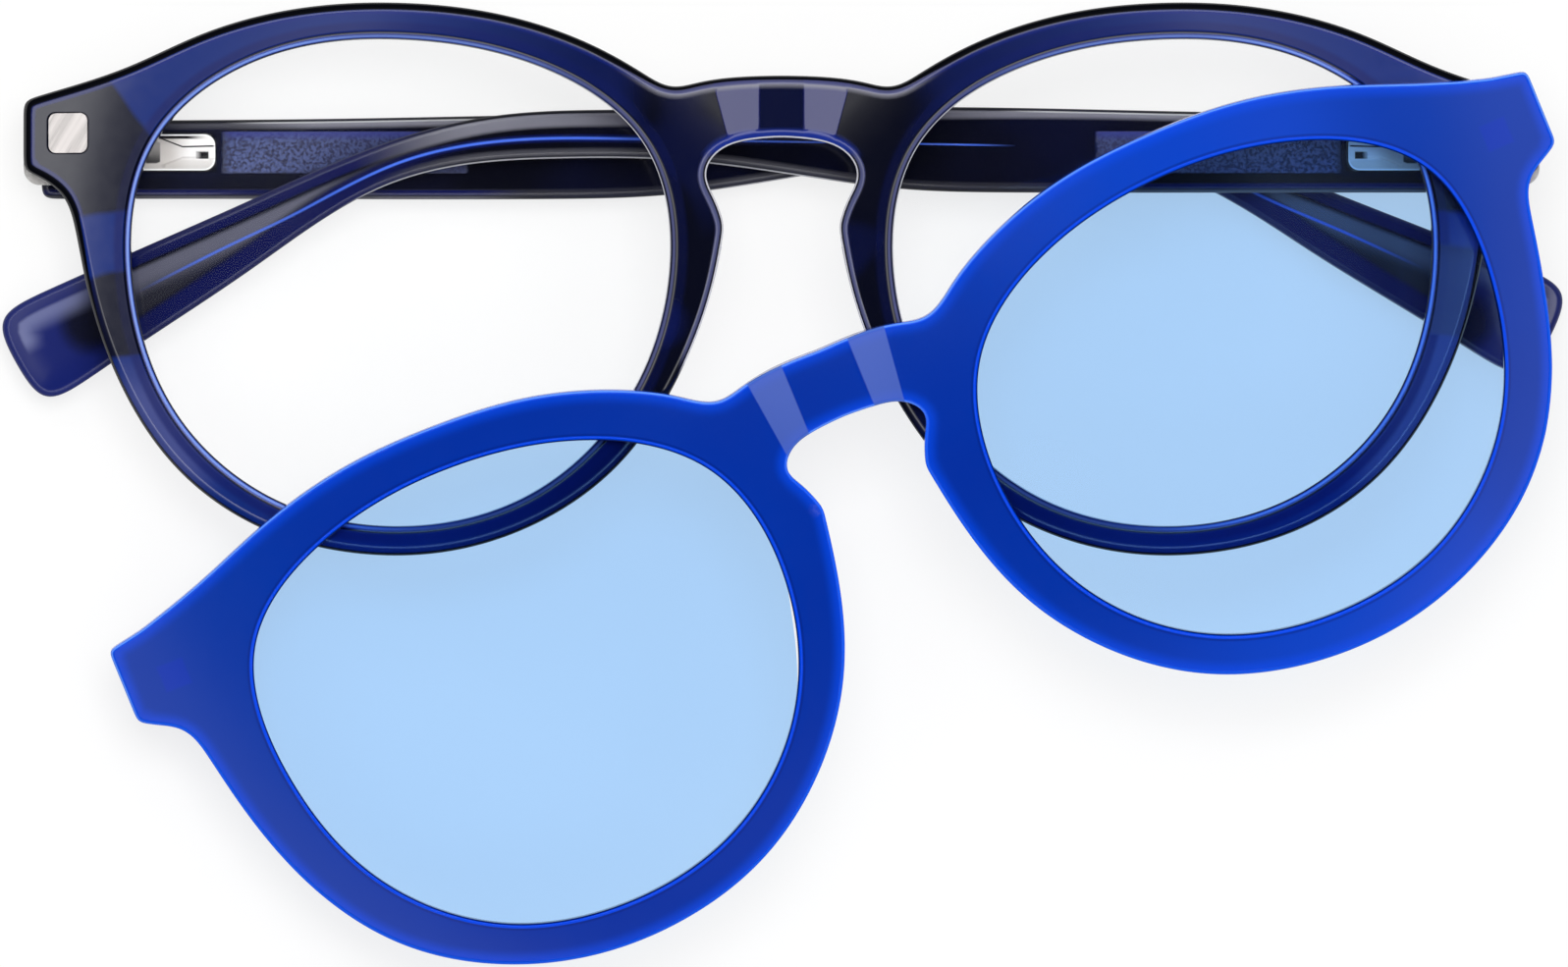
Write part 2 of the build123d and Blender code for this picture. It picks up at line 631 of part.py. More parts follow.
# The arch over the bridge, cut to the clip-on's outline
with BuildPart() as clip_arch:
    extrude(clip_outline(), amount=2 * REACH)
    upper = bridge_slice(CLIP, ARCH_TOP, arch_points(ARCH_HALF_BASE_TOP), CLIP_GAP + CLIP_THICKNESS)
    lower = bridge_slice(CLIP, ARCH_BOTTOM, arch_points(ARCH_HALF_BASE_BOTTOM), CLIP_GAP + CLIP_THICKNESS)
    loft([upper, lower], ruled=True, mode=Mode.INTERSECT)

with BuildPart() as clip_frame:
    extrude(clip_outline(), amount=2 * REACH)
    for side in SIDES.values():
        opening = lens_sketch(CLIP, side, CLIP_CENTRE, CLIP_RADII)
        extrude(opening, amount=REACH, both=True, mode=Mode.SUBTRACT)
    face_sphere(CLIP, CLIP_GAP + CLIP_THICKNESS, Mode.INTERSECT)
    face_sphere(CLIP, CLIP_GAP, Mode.SUBTRACT)
    fillet(rim_edges(clip_frame.part, CLIP_GAP + CLIP_THICKNESS), CLIP_ROUNDING)
    add(clip_arch.part)
    add(clip_grooves.part, mode=Mode.SUBTRACT)
    for side in SIDES.values():
        with BuildSketch(seat(CLIP, side * MAGNET_X, MAGNET_Y)):
            Circle(MAGNET_RADIUS + FIT_GAP)
        extrude(amount=CLIP_GAP + 2 * FIT_GAP + CLIP_MAGNET_THICKNESS, mode=Mode.SUBTRACT)


def make_clip_lens(side):
    with BuildPart() as clip_lens:
        disc = lens_sketch(CLIP, side, CLIP_CENTRE, CLIP_RADII, CLIP_GROOVE_DEPTH - FIT_GAP)
        extrude(disc, amount=REACH, both=True)
        face_sphere(CLIP, CLIP_GAP + CLIP_LENS_LOW + CLIP_LENS_THICKNESS + FIT_GAP, Mode.INTERSECT)
        face_sphere(CLIP, CLIP_GAP + CLIP_LENS_LOW + FIT_GAP, Mode.SUBTRACT)
    return clip_lens.part


def make_clip_magnet(side):
    with BuildPart() as clip_magnet:
        with BuildSketch(seat(CLIP, side * MAGNET_X, MAGNET_Y, CLIP_GAP + FIT_GAP)):
            Circle(MAGNET_RADIUS)
        extrude(amount=CLIP_MAGNET_THICKNESS)
    return clip_magnet.part


PAIRS = {
    "demo_lens": make_demo_lens,
    "nose_pad": make_nose_pad,
    "plaque": make_plaque,
    "front_magnet": make_front_magnet,
    "hinge_leaf": make_hinge_leaf,
    "hinge_rivets": make_hinge_rivets,
    "hinge_screw": make_hinge_screw,
    "spring_slider": make_slider,
    "spring_nut": make_spring_nut,
    "flex_spring": make_spring,
    "spring_housing": make_spring_housing,
    "temple": make_temple,
    "core_wire": make_core_wire,
    "clip_lens": make_clip_lens,
    "clip_magnet": make_clip_magnet,
}

os.makedirs("parts", exist_ok=True)
save(front_frame.part, "front_frame")
save(clip_frame.part, "clip_frame")
for side_name, side in SIDES.items():
    for piece, make in PAIRS.items():
        save(make(side), f"{side_name}_{piece}")
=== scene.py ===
import json
from math import cos, radians, sin

import bpy
import numpy as np
from mathutils import Matrix, Vector, geometry, kdtree


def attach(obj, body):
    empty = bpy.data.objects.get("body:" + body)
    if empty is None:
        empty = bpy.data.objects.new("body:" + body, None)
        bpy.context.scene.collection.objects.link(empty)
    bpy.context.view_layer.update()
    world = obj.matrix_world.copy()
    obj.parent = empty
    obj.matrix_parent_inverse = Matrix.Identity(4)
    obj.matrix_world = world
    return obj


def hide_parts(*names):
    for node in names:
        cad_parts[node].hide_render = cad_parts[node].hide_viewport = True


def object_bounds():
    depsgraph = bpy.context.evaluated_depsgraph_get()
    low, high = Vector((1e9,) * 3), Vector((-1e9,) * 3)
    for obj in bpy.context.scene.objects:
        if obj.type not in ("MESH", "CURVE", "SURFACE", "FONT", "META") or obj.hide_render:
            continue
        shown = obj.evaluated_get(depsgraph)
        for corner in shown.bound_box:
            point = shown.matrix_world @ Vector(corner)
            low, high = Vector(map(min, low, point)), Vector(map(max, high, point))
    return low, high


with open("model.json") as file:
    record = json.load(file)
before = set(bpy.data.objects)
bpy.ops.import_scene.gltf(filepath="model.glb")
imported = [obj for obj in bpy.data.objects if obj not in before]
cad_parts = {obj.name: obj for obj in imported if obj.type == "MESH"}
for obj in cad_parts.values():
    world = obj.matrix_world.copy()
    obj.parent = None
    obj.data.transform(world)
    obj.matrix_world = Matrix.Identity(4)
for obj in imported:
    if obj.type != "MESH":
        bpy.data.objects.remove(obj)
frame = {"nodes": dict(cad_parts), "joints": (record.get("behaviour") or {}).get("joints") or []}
cad_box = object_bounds()

MM = 0.001
LEFT = -1
RIGHT = 1
SIDES = {"left": LEFT, "right": RIGHT}

# Shapes in mm, on the front's own plane: X right, Y up the face, Z out of it
FACE_RADIUS = 300.0
LENS_CENTRE = (34.56, 0.0)
LENS_RADII = (24.1, 25.4, 23.3, 22.4, 24.3, 26.4, 25.0, 24.1, 23.05, 22.2, 22.4, 22.95)
FRONT_UPPER = (
    (0, 19.1), (5, 18.9), (8, 18.4), (9.9, 18.05), (12.5, 19.2), (16.5, 21.5), (25.6, 24.7),
    (34.6, 25.8), (43.8, 25.4), (53.7, 22.8), (60, 20.0), (67.2, 17.65),
)
FRONT_CORNERS = ((69.7, 16.9), (69.7, 10.5))
FRONT_LOWER = (
    (68.0, 9.75), (66.2, 8.35), (64.9, 5.0), (63.9, 0.0), (60.6, -9.5), (55.2, -17.3), (47.6, -22.5),
    (38.9, -24.75), (30.2, -24.5), (22.0, -21.75), (14.85, -16.5), (9.7, -9.0), (6.25, 0.0), (5.22, 5.3),
)
FRONT_KEYHOLE = ((5.22, 5.3), (6.2, 8.0), (7.0, 10.0), (6.1, 11.9), (3.0, 13.2), (0, 13.45))
CLIP_CENTRE = (35.15, 0.65)
CLIP_RADII = (24.3, 25.2, 22.8, 21.65, 23.3, 26.2, 24.3, 23.15, 22.25, 21.55, 22.15, 23.2)
CLIP_UPPER = (
    (0, 19.75), (5, 19.7), (8, 19.15), (10, 18.8), (13.5, 20.6), (17, 22.6), (26.1, 25.6), (35.15, 26.4),
    (44.35, 25.9), (54.3, 23.3), (60, 21.1), (67, 18.8),
)
CLIP_CORNERS = ((70.4, 18.1), (70.4, 11.0))
CLIP_LOWER = (
    (69.0, 10.2), (66.9, 8.85), (65.7, 5.6), (64.6, 0.2), (61.35, -9.2), (55.8, -16.95), (48.1, -22.0),
    (39.5, -24.4), (30.8, -24.3), (22.2, -21.75), (14.7, -16.4), (9.0, -8.65), (5.95, 0.8), (5.05, 6.15),
)
CLIP_KEYHOLE = ((5.05, 6.15), (6.2, 9.05), (6.8, 10.5), (5.9, 12.05), (3.0, 13.1), (0, 13.3))

# An arm's side outline and thickness, measured along from its hinge, and its heights up the face
ARM_TOP = (
    (-2.15, 15.7), (26, 15.9), (50, 16.35), (81.4, 16.1), (92, 15.6), (99.7, 13.95), (114.75, 7.85),
    (130.7, 0.8), (138.9, -2.9),
)
ARM_BOTTOM = (
    (134.0, -11.6), (124.9, -5.35), (114.75, 1.45), (102, 9.3), (95.1, 11.05), (85.8, 11.65),
    (77.9, 11.6), (66, 10.3), (54.6, 8.8), (45, 8.5), (20, 8.5), (-2.15, 8.5),
)
INNER_FACE = -0.1
INNER_FLARE = ((-2.15, 0), (90, 0), (112, 0), (128, -1.4), (139.5, -3.1))
OUTER_FLARE = ((-2.15, -3.55), (90, -3.4), (112, -3.35), (124, -5.1), (136, -7.45), (139.5, -7.9))
EASED_FROM = (66.0, 11.0)
EAR_EASE = {LEFT: 2.5, RIGHT: 0.0}
ARM_DROP = {LEFT: 0.58, RIGHT: 0.0}
WIRE_ROUTE = (
    (16, 12.1), (50, 12.9), (79.2, 13.4), (94.4, 12.9), (101, 11.3), (111.8, 6.0), (115.7, 4.15),
    (122.8, 0.6), (126, -1.05),
)
HOUSING = (1.7, 13.95)
HOUSING_HALF = 1.8
HOUSING_CORNER = 1.15
POCKET = (-9.0, HOUSING[1] + 0.05)
PANEL = (HOUSING[1] + 0.25, 37.0)
PANEL_HALF = 1.95

# How the pieces lie: angles in degrees, the magnet and the left hinge on the front's plane
FRONT_TILT = 3.3
ARM_SLOPE = 1.6
MAGNET = (65.6, 13.9)
HINGE = (66.0, 12.2, -15.0)


# Places and pieces

def turned_about_y(degrees):
    """The turn of a plane whose right-hand side is raised by an angle."""
    turn = radians(degrees)
    return Matrix(((cos(turn), 0, -sin(turn)), (0, 1, 0), (sin(turn), 0, cos(turn)))).to_4x4()


def arm_place(name):
    """Where an arm's own plane lies: its origin on the hinge."""
    return Matrix.Translation(Vector(joints[f"{name}_fold"]["pos_m"])) @ turned_about_y(ARM_SLOPE)


def linked(name, data):
    """A new object in the scene."""
    made = bpy.data.objects.new(name, data)
    bpy.context.scene.collection.objects.link(made)
    return made


joints = {joint["name"]: joint for joint in frame["joints"]}
front_turn = turned_about_y(FRONT_TILT)
left_hinge = Vector((-HINGE[0], HINGE[1], HINGE[2])) * MM
front_origin = Vector(joints["left_fold"]["pos_m"]) - front_turn @ left_hinge
FRONT = Matrix.Translation(front_origin) @ front_turn
swing = joints["clip_swing"]
pivot = Vector(swing["pos_m"])
swung = Matrix.Rotation(radians(-swing["range_deg"][0]), 4, Vector(swing["axis"]))
CLIP = Matrix.Translation(pivot) @ swung @ Matrix.Translation(-pivot) @ FRONT


# Curves and loops: steps and reaches in mm

FINE_STEP = 0.05
SOFT_SPAN = 3
INSET_STEP = 0.12


def spline(points, closed=False, step=0.2):
    """A smooth curve through points, by chord length, sampled at even steps."""
    p = np.array(points, float)
    if closed:
        p = np.vstack([p, p[:1]])
    t = np.concatenate([[0], np.cumsum(np.linalg.norm(np.diff(p, axis=0), axis=1))])
    n = len(p)
    h = np.diff(t)
    matrix = np.zeros((n, n))
    target = np.zeros((n, p.shape[1]))
    slope = np.diff(p, axis=0) / h[:, None]
    for k in range(1, n - 1):
        matrix[k, k - 1], matrix[k, k], matrix[k, k + 1] = h[k], 2 * (h[k - 1] + h[k]), h[k - 1]
        target[k] = 3 * (h[k] * slope[k - 1] + h[k - 1] * slope[k])
    if closed:
        matrix[0, 0], matrix[0, n - 1] = 1, -1
        matrix[n - 1, 0] = 2 * (h[0] + h[-1])
        matrix[n - 1, 1], matrix[n - 1, n - 2] = h[-1], h[0]
        target[n - 1] = 3 * (h[-1] * slope[0] + h[0] * slope[-1])
    else:
        matrix[0, 0], matrix[0, 1], target[0] = 2, 1, 3 * slope[0]
        matrix[-1, -1], matrix[-1, -2], target[-1] = 2, 1, 3 * slope[-1]
    m = np.linalg.solve(matrix, target)
    fine = np.linspace(0, t[-1], max(8, int(t[-1] / FINE_STEP)))
    k = np.clip(np.searchsorted(t, fine, side="right") - 1, 0, n - 2)
    s = ((fine - t[k]) / h[k])[:, None]
    hk = h[k][:, None]
    out = (
        (1 + 2 * s) * (1 - s) ** 2 * p[k] + s * (1 - s) ** 2 * hk * m[k]
        + s**2 * (3 - 2 * s) * p[k + 1] + s**2 * (s - 1) * hk * m[k + 1]
    )
    return resampled(out, step)


def resampled(line, step):
    """A line's points at even steps, both ends kept."""
    t = np.concatenate([[0], np.cumsum(np.linalg.norm(np.diff(line, axis=0), axis=1))])
    even = np.linspace(0, t[-1], max(2, int(round(t[-1] / step)) + 1))
    return np.column_stack([np.interp(even, t, line[:, axis]) for axis in range(line.shape[1])])


def softened(loop, reach, step):
    """A closed loop with its corners eased over a reach, in mm."""
    if reach <= 0:
        return loop
    half = max(1, int(np.ceil(SOFT_SPAN * reach / step)))
    weights = np.exp(-0.5 * (np.arange(-half, half + 1) * step / reach) ** 2)
    weights /= weights.sum()
    out = np.zeros_like(loop)
    for shift, weight in zip(range(-half, half + 1), weights):
        out += weight * np.roll(loop, shift, axis=0)
    return out


def loop_of(line, step, corner):
    """A closed line resampled evenly, with its corners eased."""
    closed = np.vstack([line, line[:1]])
    return softened(resampled(closed, step)[:-1], corner, step)


def outline(upper, corners, lower, keyhole, step, corner):
    """A whole front's outline from its right half, counter-clockwise."""
    half = np.vstack([
        spline(keyhole)[::-1], spline(lower)[::-1][1:], np.array(corners)[::-1], spline(upper)[::-1],
    ])
    mirrored = half[::-1] * (-1, 1)
    return loop_of(np.vstack([half, mirrored[1:-1]]), step, corner)


def opening(side, centre, radii, step):
    """A lens opening, counter-clockwise."""
    angles = np.radians(np.arange(len(radii)) * 360 / len(radii))
    x = side * (centre[0] - np.array(radii) * np.cos(angles))
    y = centre[1] + np.array(radii) * np.sin(angles)
    line = spline(np.column_stack([x, y]), closed=True)[:-1]
    line = line if side < 0 else line[::-1]
    return loop_of(line, step, 0)


def inward(loop):
    """The left-hand normals along a counter-clockwise loop."""
    run = np.roll(loop, -1, axis=0) - np.roll(loop, 1, axis=0)
    run /= np.linalg.norm(run, axis=1)[:, None]
    return np.column_stack([-run[:, 1], run[:, 0]])


def inset(loop, distance, step, into):
    """A loop moved into the material, in small eased steps so that tight corners don't cross."""
    count = max(1, int(np.ceil(abs(distance) / INSET_STEP)))
    for _ in range(count):
        loop = softened(loop + into * inward(loop) * distance / count, INSET_STEP, step)
    return loop


def inside(points, loop):
    """Which points lie inside a loop."""
    x, y = points[:, 0], points[:, 1]
    hit = np.zeros(len(points), bool)
    for (x0, y0), (x1, y1) in zip(loop, np.roll(loop, -1, axis=0)):
        if y0 == y1:
            continue
        cross = (y0 > y) != (y1 > y)
        hit ^= cross & (x < (x1 - x0) * (y - y0) / (y1 - y0) + x0)
    return hit


def unit(values):
    return np.clip(values, 0, 1)


def rising(values, low, high):
    """How far values are from low to high, as a share."""
    return unit((values - low) / (high - low))


def tree_of(spots):
    """A search tree of flat points."""
    tree = kdtree.KDTree(len(spots))
    for index, (x, y) in enumerate(spots):
        tree.insert((x, y, 0), index)
    tree.balance()
    return tree


def from_spots(points, spots):
    """Each point's distance to the nearest of some spots."""
    tree = tree_of(spots)
    return np.array([tree.find((x, y, 0))[2] for x, y in points])


def nearest(points, lines, closed=True):
    """Each point's distance to the nearest of some lines."""
    spots = np.vstack(lines)
    tree = tree_of(spots)
    found = np.array([tree.find((x, y, 0))[1] for x, y in points], int)
    best = np.full(len(points), np.inf)
    for step in (1, -1):
        ends = np.vstack([np.roll(line, step, axis=0) for line in lines])
        if not closed:
            first = 0 if step > 0 else -1
            ends[first] = spots[first]
        run = ends[found] - spots[found]
        length = np.maximum((run**2).sum(axis=1), 1e-12)
        away = points - spots[found]
        share = unit((away * run).sum(axis=1) / length)
        best = np.minimum(best, np.hypot(*(away - share[:, None] * run).T))
    return best


# Plates: the front, the clip-on, the arms and the housings' faces

WALL_LEAST = 0.06
SLOPE_REACH = 0.02
CLEAR_OF_RIM = {True: 0.45, False: 0.7}
ROWS_CLEAR_OF_RIM = 0.12
CLEAR_OF_ROWS = 0.4
MERGE_WITHIN = 1e-5
LEAST_AREA = 1e-9
ROW_SHARE = 0.866


def enclosed(points, lines):
    """Which points lie inside the first line and outside the others."""
    hit = inside(points, lines[0])
    for line in lines[1:]:
        hit &= ~inside(points, line)
    return hit


def clear_of(points, lines, distance):
    """The enclosed points that keep a distance from the lines."""
    points = points[enclosed(points, lines)]
    return points[nearest(points, lines) > distance]


def plate(name, outer, holes, top, bottom, profile, floor_profile, grid, extra, step, marks):
    """A shell between a top and a bottom surface, its walls shaped by a profile of inset and drop.

    top and bottom give heights over x, y. profile runs from the wall upwards, floor_profile downwards.
    extra is more inner points of the top, and marks gives float attributes from x, y and the loops.
    """
    loops = [(outer, 1)] + [(hole, -1) for hole in holes]
    points, faces, height, facing = [], [], [], []
    rims_top, rims_bottom = [], []
    for loop, into in loops:
        rings = []
        walls = [(pair, True) for pair in floor_profile[::-1]] + [(pair, False) for pair in profile]
        for (distance, drop), lower in walls:
            line = inset(loop, distance, step, into) if distance else loop
            z = bottom(line) + drop if lower else np.maximum(top(line) - drop, bottom(line) + WALL_LEAST)
            first = len(points)
            points.extend(line.tolist())
            height.extend(z.tolist())
            facing.extend([0] * len(line))
            rings.append((first, line))
        count = len(loop)
        for (low, _), (high, _) in zip(rings, rings[1:]):
            for k in range(count):
                a, b = low + k, low + (k + 1) % count
                c, d = high + (k + 1) % count, high + k
                faces.append((a, b, c, d) if into > 0 else (d, c, b, a))
        facing[-count:] = [1] * count
        rims_top.append(rings[-1])
        rims_bottom.append(rings[0])
    for rims, surface, upward in ((rims_top, top, True), (rims_bottom, bottom, False)):
        lines = [line for _, line in rims]
        inner = clear_of(grid, lines, CLEAR_OF_RIM[upward])
        if upward and len(extra):
            add = clear_of(extra, lines, ROWS_CLEAR_OF_RIM)
            inner = np.vstack([inner[from_spots(inner, extra) > CLEAR_OF_ROWS], add])
        flat = np.vstack([*lines, inner])
        index = np.concatenate([np.arange(first, first + len(line)) for first, line in rims])
        edges, start = [], 0
        for line in lines:
            count = len(line)
            edges += [(start + k, start + (k + 1) % count) for k in range(count)]
            start += count
        vertices, _, triangles, sources, _, _ = geometry.delaunay_2d_cdt(
            [Vector(p) for p in flat], edges, [], 0, MERGE_WITHIN, True,
        )
        spots = np.array([tuple(vertex) for vertex in vertices])
        lookup = []
        for k, spot in enumerate(spots):
            source = sources[k][0] if sources[k] else -1
            if 0 <= source < len(index):
                lookup.append(int(index[source]))
            else:
                lookup.append(len(points))
                points.append(spot.tolist())
                height.append(float(surface(spot[None])[0]))
                facing.append(1 if upward else 0)
        triangles = np.array([tuple(triangle) for triangle in triangles])
        for a, b, c in triangles[enclosed(spots[triangles].mean(axis=1), lines)]:
            area = np.cross(spots[b] - spots[a], spots[c] - spots[a])
            if abs(area) < LEAST_AREA:
                continue
            trio = (lookup[a], lookup[b], lookup[c])
            faces.append(trio if (area > 0) == upward else trio[::-1])
    xy = np.array(points)
    mesh = bpy.data.meshes.new(name)
    mesh.from_pydata((np.column_stack([xy, height]) * MM).tolist(), [], faces)
    mesh.validate()
    mesh.shade_smooth()
    normals = np.array([tuple(vertex.normal) for vertex in mesh.vertices])
    up = np.array(facing) > 0
    slope = np.zeros((up.sum(), 3))
    for axis in (0, 1):
        shift = np.zeros(2)
        shift[axis] = SLOPE_REACH
        slope[:, axis] = (top(xy[up] - shift) - top(xy[up] + shift)) / (2 * SLOPE_REACH)
    slope[:, 2] = 1
    normals[up] = slope / np.linalg.norm(slope, axis=1)[:, None]
    mesh.normals_split_custom_set_from_vertices(normals.tolist())
    for mark, worth in marks(xy, outer, holes).items():
        values = mesh.attributes.new(mark, "FLOAT", "POINT").data
        values.foreach_set("value", np.asarray(worth, np.float32))
    return linked(name, mesh)


def face_height(xy):
    """The sphere that the front's and the clip-on's faces follow."""
    return np.sqrt(FACE_RADIUS**2 - (xy**2).sum(axis=1)) - FACE_RADIUS


def grid_points(half_width, low, high, pitch):
    """Staggered rows of points, for near equal triangles."""
    x = np.arange(-half_width, half_width + pitch, pitch)
    y = np.arange(low, high + pitch, pitch * ROW_SHARE)
    gx, gy = np.meshgrid(x, y)
    gx = gx + (np.arange(len(y)) % 2)[:, None] * pitch / 2
    return np.column_stack([gx.ravel(), gy.ravel()])


# The bridge's facets: x of their inner end and of where they run out, and the crease's y and x at both ends
FACET_INNER = 2.05
FACET_RUN_OUT = 17.5
CREASE_TOP = (19.6, 6.6)
CREASE_BOTTOM = (11.5, 4.4)
FACET_SLOPE = 0.235
FACET_FALL = 1.3
FACET_FADE = (2.0, 11.0)


def crease(y, top, bottom):
    """A straight crease's x at a height y."""
    return bottom[1] + (y - bottom[0]) * (top[1] - bottom[1]) / (top[0] - bottom[0])


def facet_depth(xy):
    """How far the bridge's two valleys lie under the face."""
    x, y = np.abs(xy[:, 0]), xy[:, 1]
    at = crease(y, CREASE_TOP, CREASE_BOTTOM)
    deep = FACET_SLOPE * (at - FACET_INNER)
    rise = rising(x, FACET_INNER, at)
    fall = rising(x, FACET_RUN_OUT, at)
    fade = rising(y, *FACET_FADE)
    fade = fade * fade * (3 - 2 * fade)
    return deep * np.minimum(rise, fall**FACET_FALL) * fade


CREASE_PAIR = 0.07


def crease_rows(lines, low, high, pitch):
    """Close pairs of rows of points along straight creases, mirrored."""
    rows = []
    for x_at in lines:
        for y in np.arange(low, high, pitch):
            for off in (-CREASE_PAIR, CREASE_PAIR):
                for side in (-1, 1):
                    rows.append((side * (x_at(y) + off), y))
    return np.array(rows)


# The plaques' pockets, and the block behind each end piece
PLAQUE_HALF = 1.85
PLAQUE_CORNER = 0.72
PLAQUE_DEEP = 0.66
PLAQUE_WALL = 0.08
PLAQUE_ROWS = (-0.12, -0.045, 0.035, 0.12)
FRONT_THICK = 4.0
BLOCK_X = 61.5
BLOCK_WALL = 0.5
BLOCK_BACK = -12.0


def plaque_distance(xy):
    """Signed distance to the rounded square of the nearest plaque's pocket."""
    dx = np.abs(np.abs(xy[:, 0]) - MAGNET[0]) - (PLAQUE_HALF - PLAQUE_CORNER)
    dy = np.abs(xy[:, 1] - MAGNET[1]) - (PLAQUE_HALF - PLAQUE_CORNER)
    out = np.hypot(np.maximum(dx, 0), np.maximum(dy, 0))
    return out + np.minimum(np.maximum(dx, dy), 0) - PLAQUE_CORNER


def front_top(xy):
    pocket = unit((PLAQUE_WALL / 2 - plaque_distance(xy)) / PLAQUE_WALL)
    return face_height(xy) - facet_depth(xy) - PLAQUE_DEEP * pocket


def front_bottom(xy):
    block = unit((np.abs(xy[:, 0]) - BLOCK_X) / BLOCK_WALL + 0.5)
    return (face_height(xy) - FRONT_THICK) * (1 - block) + BLOCK_BACK * block


def ring_rows(distances):
    """Points on rounded squares round the plaques."""
    rows = []
    for distance in distances:
        half = PLAQUE_HALF + distance
        corner = max(0.05, PLAQUE_CORNER + distance)
        for angle in np.arange(0, 360, 5):
            c, s = cos(radians(angle)), sin(radians(angle))
            reach = half / max(abs(c), abs(s))
            x, y = c * reach, s * reach
            over = np.maximum(np.abs([x, y]) - (half - corner), 0)
            if over.min() > 0:
                over *= corner / np.linalg.norm(over)
            xy = np.sign([x, y]) * (np.minimum(np.abs([x, y]), half - corner) + over)
            for side in (-1, 1):
                rows.append((side * MAGNET[0] + xy[0], MAGNET[1] + xy[1]))
    return np.array(rows)


def easing(width, depth, steps, low):
    """A wall's top edge, eased into the face: pairs of inset and drop from the wall up."""
    pairs = [(0, low), (0, depth + 0.02)]
    for k in range(steps + 1):
        share = k / steps
        pairs.append((width * share, depth * (1 - share) ** 2))
    return pairs


def foot(size, middle):
    """A wall's bottom edge, rounded off: pairs of inset and rise."""
    return [(0, size), (middle, middle), (size, 0)]


def both_insets(xy, outer, holes):
    return {"rim": nearest(xy, [outer]), "lens_side": nearest(xy, holes)}


STEP = 0.3
FRONT_CORNER = 0.62
CREASE_PITCH = 0.4
FRONT_CREASES = (9, 20)
front_outer = outline(FRONT_UPPER, FRONT_CORNERS, FRONT_LOWER, FRONT_KEYHOLE, STEP, FRONT_CORNER)
front_holes = [opening(side, LENS_CENTRE, LENS_RADII, STEP) for side in SIDES.values()]
front_creases = [lambda y: FACET_INNER, lambda y: crease(y, CREASE_TOP, CREASE_BOTTOM)]
front_rows = np.vstack([crease_rows(front_creases, *FRONT_CREASES, CREASE_PITCH), ring_rows(PLAQUE_ROWS)])
acetate_front = plate(
    "acetate_front", front_outer, front_holes, front_top, front_bottom, easing(0.9, 0.44, 6, 2.0),
    foot(0.35, 0.12), grid_points(72, -27, 28, 1.1), front_rows, STEP, both_insets,
)
acetate_front.matrix_world = FRONT

# The clip-on's raised bridge: half its flat top, the y and x of its foot at both ends, and where it starts
ARCH_HALF_TOP = 3.2
ARCH_BASE_TOP = (20.4, 6.9)
ARCH_BASE_BOTTOM = (12.3, 5.9)
ARCH_RISE = 0.95
ARCH_FADE = (2.0, 8.0)
CLIP_LOW = 0.1
CLIP_THICK = 1.6
CLIP_CORNER = 0.42
CLIP_CREASES = (9.8, 20.8)


def clip_top(xy):
    x, y = np.abs(xy[:, 0]), xy[:, 1]
    base = crease(y, ARCH_BASE_TOP, ARCH_BASE_BOTTOM)
    rise = ARCH_RISE * rising(x, base, ARCH_HALF_TOP)
    return face_height(xy) + CLIP_LOW + CLIP_THICK + rise * rising(y, *ARCH_FADE)


def clip_bottom(xy):
    return face_height(xy) + CLIP_LOW


# How far the clip-on's loops are set to the right, over x
CLIP_LEAN = (
    (-72, 0), (-64, 0.2), (-35, 0.35), (0, 0.42), (12, 0.5), (59, 0.45), (62, 0.3), (64.4, 0.05), (72, 0),
)


def leaned(loop):
    """A loop of the clip-on with its rims set a little to one side."""
    return loop + np.outer(np.interp(loop[:, 0], *np.array(CLIP_LEAN, float).T), (1, 0))


clip_outer = leaned(outline(CLIP_UPPER, CLIP_CORNERS, CLIP_LOWER, CLIP_KEYHOLE, STEP, CLIP_CORNER))
clip_holes = [leaned(opening(side, CLIP_CENTRE, CLIP_RADII, STEP)) for side in SIDES.values()]
clip_creases = [lambda y: ARCH_HALF_TOP, lambda y: crease(y, ARCH_BASE_TOP, ARCH_BASE_BOTTOM)]
clip_rows = crease_rows(clip_creases, *CLIP_CREASES, CREASE_PITCH)
clip_front = plate(
    "clip_front", clip_outer, clip_holes, clip_top, clip_bottom, easing(0.36, 0.2, 4, 0.9),
    foot(0.2, 0.06), grid_points(73, -27, 28, 1.1), clip_rows, STEP, both_insets,
)
clip_front.matrix_world = CLIP


# Arms

def arm_point(side, along, height):
    """A point of the arm's side outline, eased up at the ear and dropped as that side is."""
    ease = radians(EAR_EASE[side])
    x, y = along, height
    if along > EASED_FROM[0]:
        out, up = along - EASED_FROM[0], height - EASED_FROM[1]
        x = EASED_FROM[0] + out * cos(ease) - up * sin(ease)
        y = EASED_FROM[1] + out * sin(ease) + up * cos(ease)
    return (-side * x, y - ARM_DROP[side] - HINGE[1])


# The inner face's crown over the length, the pockets in it, and the steps of its mesh
CROWN_REACH = ((0, 1.3), (40, 1.3), (112, 2.9), (200, 2.9))
CROWN_DROP = ((0, 0.1), (100, 0.1), (200, 0.14))
PANEL_DEEP = 0.12
POCKET_DEEP = 2.5
POCKET_HALF = 1.84
POCKET_WALL = 0.1
ARM_STEP = 0.35
ARM_CORNER = 0.75
ARM_PITCH = 0.8
TIP_START = 125.0
TIP_BLEND = 5.0
TIP_CORNER = 2.2
WIRE_ROWS = (-0.32, -0.12, 0, 0.12, 0.32)
WIRE_STEP = 0.3


